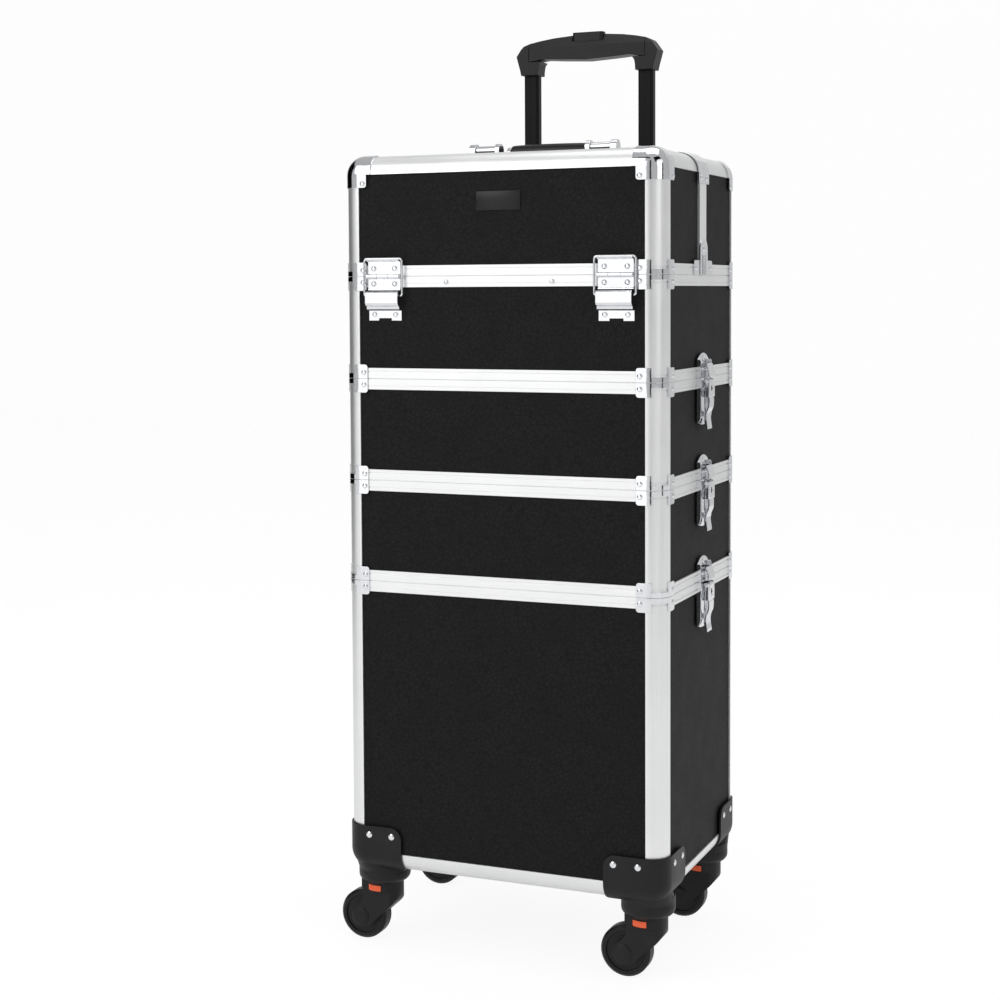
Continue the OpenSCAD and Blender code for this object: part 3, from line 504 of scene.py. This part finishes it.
class CASE_OT_stage(bpy.types.Operator):
    """Pale floor, backdrop, soft lamps and the camera"""
    bl_idname = "case.stage"
    bl_label = "Stage"
    # Places and sizes in metres. Each lamp: name, place, target, size and power
    LAMPS = (("key", (-1.3, -2.0, 2.1), (0, 0, 0.5), 1.7, 19),
             ("fill", (2.4, -1.0, 1.5), (0.1, 0, 0.45), 1.5, 8),
             ("top", (0.2, 0.1, 2.7), (0, 0, 0.6), 1.6, 13))
    # Cards that only reflections see: centre, width, height and glow
    CARDS = (((-1.05, -2.7, 0.7), 1.9, 3.2, 1.3), ((1.15, 2.4, 0.7), 1.8, 3.0, 0.62),
             ((-2.3, 0.2, 0.8), 2.2, 3.4, 0.0), ((0.85, -2.95, 0.9), 0.45, 3.4, 0.0),
             ((1.9, -1.2, 2.3), 1.5, 1.3, 0.0), ((2.7, -0.5, 0.9), 0.35, 3.0, 0.0),
             ((-0.2, -1.9, 2.7), 1.5, 0.35, 0.0))
    CARD_AIM = Vector((0, 0, 0.5))
    # The floor's half width, its back wall's height and how far that leans away
    FLOOR, WALL, LEAN = 6.0, 6.0, 0.6
    WHITE = (1, 1, 1, 1)
    # Strength of the sky as light, for the camera and in reflections
    SKY_LIGHT, SKY_SEEN, SKY_MIRRORED = 0.55, 1.0, 0.5
    # The floor's own glow, and its share for the camera and in reflections
    PAPER_GLOW, PAPER_SEEN, PAPER_MIRRORED = 1.06, 0.86, 0.5
    CAMERA_PLACE = (0.6887, -1.7583, 0.6718)
    CAMERA_TURN, CAMERA_ROLL = (86.91, 0, 22.8), -0.28
    LENS, SENSOR, SHIFT_Y, CLIP_END = 65.34, 36.0, -0.1103, 50

    def execute(self, context):
        scene = context.scene
        scene.view_settings.view_transform = "Standard"
        self.floor()
        self.world(scene)
        for lamp in self.LAMPS:
            self.lamp(*lamp)
        for number, card in enumerate(self.CARDS):
            self.card("card_%d" % number, *card)
        self.camera(scene)
        return {"FINISHED"}

    def prop(self, name, bm, material):
        """A piece of the studio, made from a bmesh."""
        mesh = bpy.data.meshes.new(name)
        bm.to_mesh(mesh)
        bm.free()
        mesh.materials.append(material)
        made = linked(name, mesh)
        return made

    def card(self, name, place, width, height, glow):
        bm = bmesh.new()
        bmesh.ops.create_grid(bm, x_segments=1, y_segments=1, size=0.5)
        bmesh.ops.scale(bm, verts=bm.verts, vec=(width, height, 1))
        aim = (self.CARD_AIM - Vector(place)).to_track_quat("Z", "Y").to_matrix().to_4x4()
        bmesh.ops.transform(bm, verts=bm.verts, matrix=Matrix.Translation(place) @ aim)
        card = self.prop(name, bm, self.felt(name, glow))
        for ray in ("camera", "diffuse", "transmission", "volume_scatter", "shadow"):
            setattr(card, "visible_" + ray, False)

    def felt(self, name, glow):
        """Black cloth that may glow."""
        f = Finish(name + " cloth")
        nap = f.noise(300, 2)
        return f.set(Base_Color=f.mix(nap, (0.001, 0.001, 0.001, 1), (0.004, 0.004, 0.004, 1)),
                     Roughness=0.9 + nap * 0.05, Specular_IOR_Level=0.0,
                     Emission_Color=self.WHITE, Emission_Strength=glow)

    def paper(self):
        """White paper, paler for the camera than its light makes it."""
        f = Finish("white paper")
        weave = f.noise(240, 2)
        colour = f.mix(weave, (0.90, 0.90, 0.90, 1), (0.93, 0.93, 0.93, 1))
        f.set(Base_Color=colour, Roughness=0.85 + weave * 0.08)
        seen = f.node("ShaderNodeLightPath", out="Is Camera Ray")
        mirrored = f.node("ShaderNodeLightPath", out="Is Glossy Ray")
        glow = f.tree.nodes.new("ShaderNodeEmission")
        glow.inputs["Color"].default_value = self.WHITE
        glow.inputs["Strength"].default_value = self.PAPER_GLOW
        share = (seen * self.PAPER_SEEN + mirrored * self.PAPER_MIRRORED).clamp()
        self.blend(f.tree, share.output, f.shader, glow, f.tree.nodes["Material Output"])
        return f.material

    def blend(self, tree, factor, low, high, end=None):
        """A mix of two shaders, fed to the output node where one is given."""
        mixed = tree.nodes.new("ShaderNodeMixShader")
        tree.links.new(factor, mixed.inputs[0])
        tree.links.new(low.outputs[0], mixed.inputs[1])
        tree.links.new(high.outputs[0], mixed.inputs[2])
        if end:
            tree.links.new(mixed.outputs[0], end.inputs["Surface"])
        return mixed

    def floor(self):
        bm = bmesh.new()
        bmesh.ops.create_grid(bm, x_segments=1, y_segments=1, size=self.FLOOR)
        back = [e for e in bm.edges if all(v.co.y > self.FLOOR / 2 for v in e.verts)]
        rise = bmesh.ops.extrude_edge_only(bm, edges=back)["geom"]
        bmesh.ops.translate(bm, verts=[g for g in rise if isinstance(g, bmesh.types.BMVert)],
                            vec=(0, self.LEAN, self.WALL))
        self.prop("studio_floor", bm, self.paper())

    def sky(self, node, strength):
        """A white background node of one strength."""
        node.inputs["Color"].default_value = self.WHITE
        node.inputs["Strength"].default_value = strength
        return node

    def world(self, scene):
        world = bpy.data.worlds.new("studio")
        scene.world = world
        world.use_nodes = True
        tree = world.node_tree
        light = self.sky(tree.nodes["Background"], self.SKY_LIGHT)
        seen = self.sky(tree.nodes.new("ShaderNodeBackground"), self.SKY_SEEN)
        mirrored = self.sky(tree.nodes.new("ShaderNodeBackground"), self.SKY_MIRRORED)
        path = tree.nodes.new("ShaderNodeLightPath")
        unseen = self.blend(tree, path.outputs["Is Glossy Ray"], light, mirrored)
        self.blend(tree, path.outputs["Is Camera Ray"], unseen, seen, tree.nodes["World Output"])

    def lamp(self, name, place, target, size, power):
        data = bpy.data.lights.new(name, "AREA")
        data.size = size
        data.energy = power
        lamp = linked(name, data)
        lamp.location = place
        lamp.rotation_euler = (Vector(target) - Vector(place)).to_track_quat("-Z", "Y").to_euler()

    def camera(self, scene):
        data = bpy.data.cameras.new("camera")
        data.lens, data.sensor_width = self.LENS, self.SENSOR
        data.shift_y, data.clip_end = self.SHIFT_Y, self.CLIP_END
        camera = linked("camera", data)
        camera.location = self.CAMERA_PLACE
        turn = Euler([math.radians(angle) for angle in self.CAMERA_TURN]).to_matrix().to_4x4()
        camera.rotation_euler = (turn @ turned("Z", self.CAMERA_ROLL)).to_euler()
        scene.camera = camera


class CASE_OT_finishes(bpy.types.Operator):
    """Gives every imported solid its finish"""
    bl_idname = "case.finishes"
    bl_label = "Finishes"

    def execute(self, context):
        for name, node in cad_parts.items():
            material = finish(finish_for(name))
            if not node.data.materials:
                node.data.materials.append(material)
            for index in range(len(node.material_slots)):
                node.material_slots[index].material = material
        return {"FINISHED"}


class CASE_OT_name_plate(bpy.types.Operator):
    """Bare plate on the lid's front"""
    bl_idname = "case.name_plate"
    bl_label = "Name plate"

    # Middle of the plate, as (x, z), and its face and back
    MIDDLE, FACE, BACK = (0.5, 760.5), -124.2, -123.1

    def execute(self, context):
        w, h = sizes().plate_width / MM, sizes().plate_height / MM
        x, z = self.MIDDLE
        bm = bmesh.new()
        add_box(bm, (x - w / 2, self.FACE, z - h / 2), (x + w / 2, self.BACK, z + h / 2), 0.35)
        finished("name_plate", bm, "lid", "carry")
        return {"FINISHED"}


class CASE_OT_rail_screws(bpy.types.Operator):
    """Two screws in the upper tier's front rail"""
    bl_idname = "case.rail_screws"
    bl_label = "Rail screws"

    PLACES, HEIGHT, HEAD_R, FLATNESS = (-55.0, 57.0), 681.6, 2.6, 0.45

    def execute(self, context):
        bm = bmesh.new()
        for x in self.PLACES:
            head = bmesh.ops.create_uvsphere(bm, u_segments=24, v_segments=12,
                                             radius=self.HEAD_R * MM)["verts"]
            bmesh.ops.scale(bm, verts=head, vec=(1, self.FLATNESS, 1))
            bmesh.ops.translate(bm, verts=head, vec=Vector((x, -HALF_D - 0.1, self.HEIGHT)) * MM)
            add_box(bm, (x - 1.5, -HALF_D - 1.6, self.HEIGHT - 0.4),
                    (x + 1.5, -HALF_D - 0.6, self.HEIGHT + 0.4), 0.1)
        finished("rail_screws", bm, "tier_1", "chrome")
        return {"FINISHED"}


# Each latch: its face, how far it stands from that face's middle, and its seam
LATCHES = {
    "4_left": ("left", 0.0, 4), "4_right": ("right", 0.0, 4),
    "3_left": ("left", 0.0, 3), "3_right": ("right", 0.0, 3),
    "2_left": ("left", 0.0, 2), "2_right": ("right", 0.0, 2),
    "rear_left": ("back", -122.3, 1), "rear_right": ("back", 122.3, 1),
}
# Nodes that hold the plates of each body, and the bodies above and under each seam
PLATES = {"lid": "lid_latch_strikes", "tier_1": "tier_1_latch_plates",
          "tier_2": "tier_2_latch_plates", "tier_3": "tier_3_latch_plates",
          "root": "bottom_latch_bases"}
ABOVE = {1: "lid", 2: "tier_1", 3: "tier_2", 4: "tier_3"}
UNDER = {1: "tier_1", 2: "tier_2", 3: "tier_3", 4: "root"}
LATCH_W = 36.0
LEVER_W = 19.6
# The lever's pivot, as (out, up) from the case's face and the seam
PIVOT = (7.5, -3.6)
KEYHOLE_Z = -10.6


class CASE_OT_latch_plates(bpy.types.Operator):
    """Strikes and bases of the draw latches"""
    bl_idname = "case.latch_plates"
    bl_label = "Latch plates"
    SHEET = 1.2
    # Top of the strike and foot of the base, and how far each end bulges
    STRIKE_TOP, STRIKE_BULGE = 24.8, 6.4
    BASE_FOOT, BASE_BULGE = -47.5, 3.6

    def bulge(self, height):
        """Radius of an end of the plate that bulges by a height, and half its angle."""
        half = LATCH_W / 2
        radius = (half ** 2 + height ** 2) / (2 * height)
        return radius, math.degrees(math.asin(half / radius))

    def strike(self, bm, at):
        half = LATCH_W / 2
        dome, rise = self.bulge(self.STRIKE_BULGE)
        outline = [(-half, 0.3), (half, 0.3),
                   *arc(0, self.STRIKE_TOP - dome, dome, 90 - rise, 90 + rise, 18)]
        add_sheet(bm, outline, 0.0, self.SHEET, at, bevel=0.3)
        for s in (-1, 1):
            add_bar(bm, [(0, 0.3), (4.4, 0.3), (4.4, 16.4), (3.2, 18.2), (0, 18.2)],
                    s * half - 0.65, s * half + 0.65, at)
            add_bar(bm, [(0.4, 1.3), (9.9, 1.3), (9.9, 6), (7.6, 13), (4.0, 14.6), (0.4, 14.6)],
                    s * (LEVER_W / 2 - 0.6) - 0.6, s * (LEVER_W / 2 - 0.6) + 0.6, at)
        add_bar(bm, [(9.0, 1.3), (10.4, 1.3), (10.4, 6.2), (8.2, 13.4), (7.2, 14.4), (6.4, 13.4),
                     (7.0, 12.6), (9.0, 5.8)], -LEVER_W / 2, LEVER_W / 2, at)
        add_rod(bm, at, 5.4, 9.2, 1.4, 0.6 - half, half - 0.6)
        add_turned(bm, [(3.9, 1.2), (3.9, 1.5), (3.4, 2.0), (2.4, 2.1), (2.0, 1.7), (0, 1.7)],
                   at @ shift(0, 0, 19.6))

    def base(self, bm, at):
        half = LATCH_W / 2
        dome, dip = self.bulge(self.BASE_BULGE)
        outline = [(half, -0.3), (-half, -0.3),
                   *arc(0, self.BASE_FOOT + dome, dome, 270 - dip, 270 + dip, 14)]
        add_sheet(bm, outline, 0.0, self.SHEET, at, bevel=0.3)
        for s in (-1, 1):
            add_bar(bm, [(0, -0.3), (4.4, -0.3), (5.2, -7), (4.4, -14), (4.3, -38),
                         (3.0, -43.6), (0, -43.9)], s * half - 0.65, s * half + 0.65, at)
            add_bar(bm, [(0.4, -2.0), (0.4, -14.0), (2.4, -13.2), *arc(*PIVOT, 2.3, -60, 150, 12)],
                    s * 10.9 - 0.6, s * 10.9 + 0.6, at)
        add_rod(bm, at, *PIVOT, 1.5, -12.4, 12.4)
        add_turned(bm, [(3.2, 1.2), (3.2, 1.6), (2.4, 2.2), (1.2, 2.3), (0, 2.0)],
                   at @ shift(0, 0, -37))

    def execute(self, context):
        for body, node in PLATES.items():
            bm = bmesh.new()
            for add, bodies in ((self.base, UNDER), (self.strike, ABOVE)):
                for side, across, seam in LATCHES.values():
                    if bodies[seam] == body:
                        add(bm, on_face(side, across, SEAMS[seam]))
            finished("pressed_" + node, bm, body, "chrome", (node,))
        return {"FINISHED"}


class CASE_OT_latch_levers(bpy.types.Operator):
    """Levers of the draw latches, their lock barrels and fingers"""
    bl_idname = "case.latch_levers"
    bl_label = "Latch levers"
    # Middle line of the finger, as (out, up), and its half thickness
    FINGER = ((9.4, -20.2, .7), (9.5, -24, .7), (9.3, -27, .75), (8.8, -30, .8), (7.4, -33, .9),
              (6.1, -36, 1.1), (5.6, -39, 1.3), (5.6, -42, 1.4), (6.0, -45, 1.3), (6.7, -48, 1.1),
              (7.3, -50.4, .8), (7.6, -51.6, .4))

    def lever(self, at):
        bm = bmesh.new()
        half = LEVER_W / 2
        face = at @ shift(0, 9.2, 0)
        keyhole = arc(0, KEYHOLE_Z, 3.3, 0, 330, 11)
        outline = [(-half, -2.0), (-half, -19.4), (half, -19.4), (half, -2.0)]
        add_sheet(bm, outline, 0.0, 1.2, face, (keyhole,), bevel=0.25)
        for s in (-1, 1):
            add_bar(bm, [(9.6, -2.0), (5.4, -2.0), (3.2, -5.5), (2.4, -19.4), (9.6, -19.4)],
                    s * (half - 0.5) - 0.5, s * (half - 0.5) + 0.5, at)
        left = [(u - t, z) for u, z, t in self.FINGER]
        right = [(u + t, z) for u, z, t in self.FINGER]
        add_bar(bm, left + right[::-1], -7.8, 7.8, at)
        add_bar(bm, [(8.4, -18.6), (9.6, -18.6), (9.8, -21), (8.8, -21)], -7.8, 7.8, at)
        return bm

    def lock(self, at):
        bm = bmesh.new()
        place = at @ shift(0, 0, KEYHOLE_Z)
        add_turned(bm, [(3.25, 4.5), (3.25, 9.3), (2.9, 9.5), (2.2, 9.1), (0, 9.1)], place)
        add_sheet(bm, [(-0.5, -1.9), (0.5, -1.9), (0.5, 1.9), (-0.5, 1.9)], 9.1, 9.35, place)
        return bm

    def execute(self, context):
        for key, (side, across, seam) in LATCHES.items():
            body = "latch_lever_" + key
            at = on_face(side, across, SEAMS[seam])
            finished("lever_" + key, self.lever(at), body, "chrome", (body,))
            finished("lock_" + key, self.lock(at), body, "dark")
        return {"FINISHED"}


class CASE_OT_casters(bpy.types.Operator):
    """Rounded forks, release tabs and the skirts over the swivels"""
    bl_idname = "case.casters"
    bl_label = "Casters"
    STEM = (143.5, 93.0)
    TRAIL, WHEEL_R, HEAD_R, HUB_R = 21.5, 25.5, 19.5, 11.8
    # Half widths of the fork and of its slot for the wheel, and the slot's radius
    FORK, SLOT, SLOT_R = 15.4, 9.2, 27.2
    HEAD_Z = (53.6, 68.2)
    # Front and back of the fork seen from its side, as (x, z)
    NOSE = ((19.5, 68.2), (19.5, 55), (19.2, 51), (18.2, 47.4), (16.2, 43.6), (13.2, 39.8),
            (9.0, 35.6), (4.0, 31.2), (-1.0, 26.6), (-5.5, 22.0), (-9.4, 17.8), (-12.6, 16.0))
    BACK = ((-30.5, 33.2), (-27.4, 35.9), (-24.0, 38.2), (-20.8, 41.2), (-18.6, 45.2),
            (-18.0, 50), (-18.6, 55), (-19.5, 58), (-19.5, 68.2))
    # Hub cap, as (radius, out)
    CAP = ((9.7, 15.0), (9.7, 15.9), (9.2, 16.3), (5.0, 16.8), (0, 16.9))
    # The tab's ends in x, its height, its face's radius and its back, and its pocket
    TAB_X, TAB_Z, TAB_R, TAB_BACK = (-10.5, 4.1), (55.5, 61.3), 19.9, -15.5
    POCKET = ((-10.9, -13.6), (4.5, -13.6), (4.5, -24), (-10.9, -24))
    POCKET_Z = (55.0, 61.8)
    # Ribs on the tab: the first one's middle, their distance, number, height and radius
    RIB_X, RIB_STEP, RIBS, RIB_Z, RIB_R = -7.9, 2.4, 5, (56.6, 60.2), 20.15
    # Skirt, as (radius, height)
    SKIRT = ((26.3, 77), (26.7, 76), (26.7, 70.6), (26.3, 68.6), (25.2, 66.8), (23.8, 65.4),
             (22.2, 64.5), (20.9, 64.3), (20.3, 64.9), (20.3, 70), (24, 77), (26.3, 77))

    def fork(self, at):
        head, reach = self.HEAD_R, -60
        hub = arc(-self.TRAIL, self.WHEEL_R, self.HUB_R, -50, -220, 20)
        side, plan, collar, slot, pocket = (bmesh.new() for _ in range(5))
        add_sheet(side, [*self.NOSE, *hub, *self.BACK], -self.FORK, self.FORK, at)
        add_column(plan, [*arc(0, 0, head, -90, 90, 32), (reach, head), (reach, -head)], 0, 80, at)
        add_column(collar, arc(0, 0, head, 0, 354, 59), *self.HEAD_Z, at)
        add_sheet(slot, arc(-self.TRAIL, self.WHEEL_R, self.SLOT_R, 0, 354, 59),
                  -self.SLOT, self.SLOT, at)
        add_column(pocket, self.POCKET, *self.POCKET_Z, at)
        fork = carved(side, plan, "INTERSECT")
        fork = carved(fork, collar, "UNION")
        fork = carved(carved(fork, slot), pocket)
        for turn in (180, 0):
            add_turned(fork, self.CAP, at @ shift(-self.TRAIL, 0, self.WHEEL_R) @ turned("Z", turn))
        return fork

    def tab(self, at):
        bm = bmesh.new()
        low, high = self.TAB_X
        across = [low + (high - low) * i / 12 for i in range(13)]
        front = [(x, -math.sqrt(self.TAB_R ** 2 - x * x)) for x in across]
        add_column(bm, [*front, (high, self.TAB_BACK), (low, self.TAB_BACK)], *self.TAB_Z, at)
        for i in range(self.RIBS):
            x = self.RIB_X + self.RIB_STEP * i
            y = -math.sqrt(self.RIB_R ** 2 - x * x)
            add_column(bm, [(x - .35, y), (x + .35, y), (x + .35, y + 1), (x - .35, y + 1)],
                       *self.RIB_Z, at)
        return bm

    def execute(self, context):
        skirts = bmesh.new()
        for corner in CORNERS:
            x = -self.STEM[0] if "left" in corner else self.STEM[0]
            y = -self.STEM[1] if "front" in corner else self.STEM[1]
            at = shift(x, y)
            finished("fork_" + corner, self.fork(at), "swivel_" + corner, "caster",
                     ("caster_fork_" + corner,))
            finished("tab_" + corner, self.tab(at), "tab_" + corner, "tab",
                     ("release_tab_" + corner,))
            add_turned(skirts, self.SKIRT, at @ turned("X", 90), 56)
        finished("swivel_skirts", skirts, "root", "caster")
        return {"FINISHED"}


class CASE_OT_carry_grip(bpy.types.Operator):
    """Oval grip of the folding carry handle, with a slight swell"""
    bl_idname = "case.carry_grip"
    bl_label = "Carry grip"
    # Middle of the grip, as (y, z), and its half depth and half height
    MIDDLE, OVAL = (28, 818), (7.6, 8.6)
    # Share of the oval at each distance from the middle
    SWELL = ((0, 1), (15, .99), (30, .96), (41, .92), (44, .9), (45.4, .86), (46, .78))

    def execute(self, context):
        bm = bmesh.new()
        angles = [math.tau * i / 40 for i in range(40)]
        (y, z), (deep, high) = self.MIDDLE, self.OVAL
        rings = [[bm.verts.new(Vector((x, y + deep * size * math.cos(angle),
                                       z + high * size * math.sin(angle))) * MM)
                  for angle in angles]
                 for x, size in [(-x, size) for x, size in self.SWELL[:0:-1]] + [*self.SWELL]]
        join_rings(bm, rings)
        close_rings(bm, rings)
        finished("carry_grip", bm, "carry_handle", "carry",
                 ("carry_handle_grip",))
        return {"FINISHED"}


class CASE_OT_trolley_grip(bpy.types.Operator):
    """Arched grip of the trolley handle: a bar and two end caps that run down the tubes"""
    bl_idname = "case.trolley_grip"
    bl_label = "Trolley grip"
    # Top and underside of the grip, and the middle plane and x of the tubes
    TOP, LOW, TUBE_Y, TUBE_X = 954.0, 911.5, 138, 66.6
    BAR_HALF, CAP_HALF = 10.4, 10.7
    # Right half of the bar and the right cap, as (x, height from the top)
    BAR = ((0, 0), (20, -.5), (40, -2.2), (55, -4.6), (67.25, -7.3), (67.25, -27.8),
           (49, -25.4), (30, -26.8), (0, -28.4))
    CAP = ((67.6, -7.4), (71.2, -9), (74, -10.2), (82, -21.6), (80.6, -27), (78, -36),
           (76.6, LOW - TOP), (56.8, LOW - TOP), (56.4, -36), (55.4, -31), (53, -28),
           (67.6, -28))
    # Half length and half depth of the button's pocket, and its height
    POCKET, POCKET_Z = (18.4, 6.4), (941.5, 980)
    # The facets along the top: their normal, and a point as (out, height from the top)
    FACET, FACET_AT = (0.80, 0.60), (9.7, -12)
    RIDGE_Z = (640, 911)

    def facets(self, bm):
        """Cuts the sloped facets along the front and back top edges."""
        for sign in (-1, 1):
            out, up = self.FACET_AT
            bmesh.ops.bisect_plane(
                bm, geom=bm.verts[:] + bm.edges[:] + bm.faces[:],
                plane_co=Vector((0, self.TUBE_Y + sign * out, self.TOP + up)) * MM,
                plane_no=Vector((0, sign * self.FACET[0], self.FACET[1])), clear_outer=True)
            bmesh.ops.holes_fill(bm, edges=[e for e in bm.edges if e.is_boundary], sides=0)

    def execute(self, context):
        y = self.TUBE_Y
        bar, caps, ridges, pocket = (bmesh.new() for _ in range(4))
        right = [(x, self.TOP + drop) for x, drop in self.BAR]
        add_sheet(bar, right + [(-x, z) for x, z in right[-2:0:-1]],
                  y - self.BAR_HALF, y + self.BAR_HALF)
        self.facets(bar)
        long, deep = self.POCKET
        add_box(pocket, (-long, y - deep, self.POCKET_Z[0]), (long, y + deep, self.POCKET_Z[1]),
                1.0)
        finished("grip_bar", carved(bar, pocket), "trolley_inner", "grip",
                 ("trolley_grip",), 25)
        for side in (-1, 1):
            add_sheet(caps, [(side * x, self.TOP + drop) for x, drop in self.CAP],
                      y - self.CAP_HALF, y + self.CAP_HALF)
            x = side * self.TUBE_X - 1.3
            add_box(ridges, (x - 0.45, y - 6.55, self.RIDGE_Z[0]),
                    (x + 0.45, y - 6.1, self.RIDGE_Z[1]), 0.15)
        self.facets(caps)
        finished("grip_end_caps", caps, "trolley_inner", "grip", (), 25)
        finished("tube_ridges", ridges, "trolley_inner", "tube")
        return {"FINISHED"}


class CASE_PT_panel(bpy.types.Panel):
    """Settings and makers of the case"""
    bl_idname = "CASE_PT_panel"
    bl_label = "Train case"
    bl_space_type = "VIEW_3D"
    bl_region_type = "UI"
    bl_category = "Train case"

    def draw(self, context):
        column = self.layout.column()
        for name in CaseColours.__annotations__:
            column.prop(colours(), name)
        for name in CaseSizes.__annotations__:
            column.prop(sizes(), name)
        for maker in MAKERS:
            column.operator(maker.bl_idname)


MAKERS = (CASE_OT_stage, CASE_OT_finishes, CASE_OT_name_plate, CASE_OT_rail_screws,
          CASE_OT_latch_plates, CASE_OT_latch_levers, CASE_OT_trolley_grip,
          CASE_OT_casters, CASE_OT_carry_grip)
CLASSES = (CaseColours, CaseSizes, *MAKERS, CASE_PT_panel)


def register():
    for cls in CLASSES:
        bpy.utils.register_class(cls)
    bpy.types.Scene.case_colours = PointerProperty(type=CaseColours)
    bpy.types.Scene.case_sizes = PointerProperty(type=CaseSizes)


def unregister():
    del bpy.types.Scene.case_sizes
    del bpy.types.Scene.case_colours
    for cls in reversed(CLASSES):
        bpy.utils.unregister_class(cls)


def main():
    register()
    for maker in MAKERS:
        getattr(bpy.ops.case, maker.bl_idname.split(".")[1])()


if __name__ == "__main__":
    main()
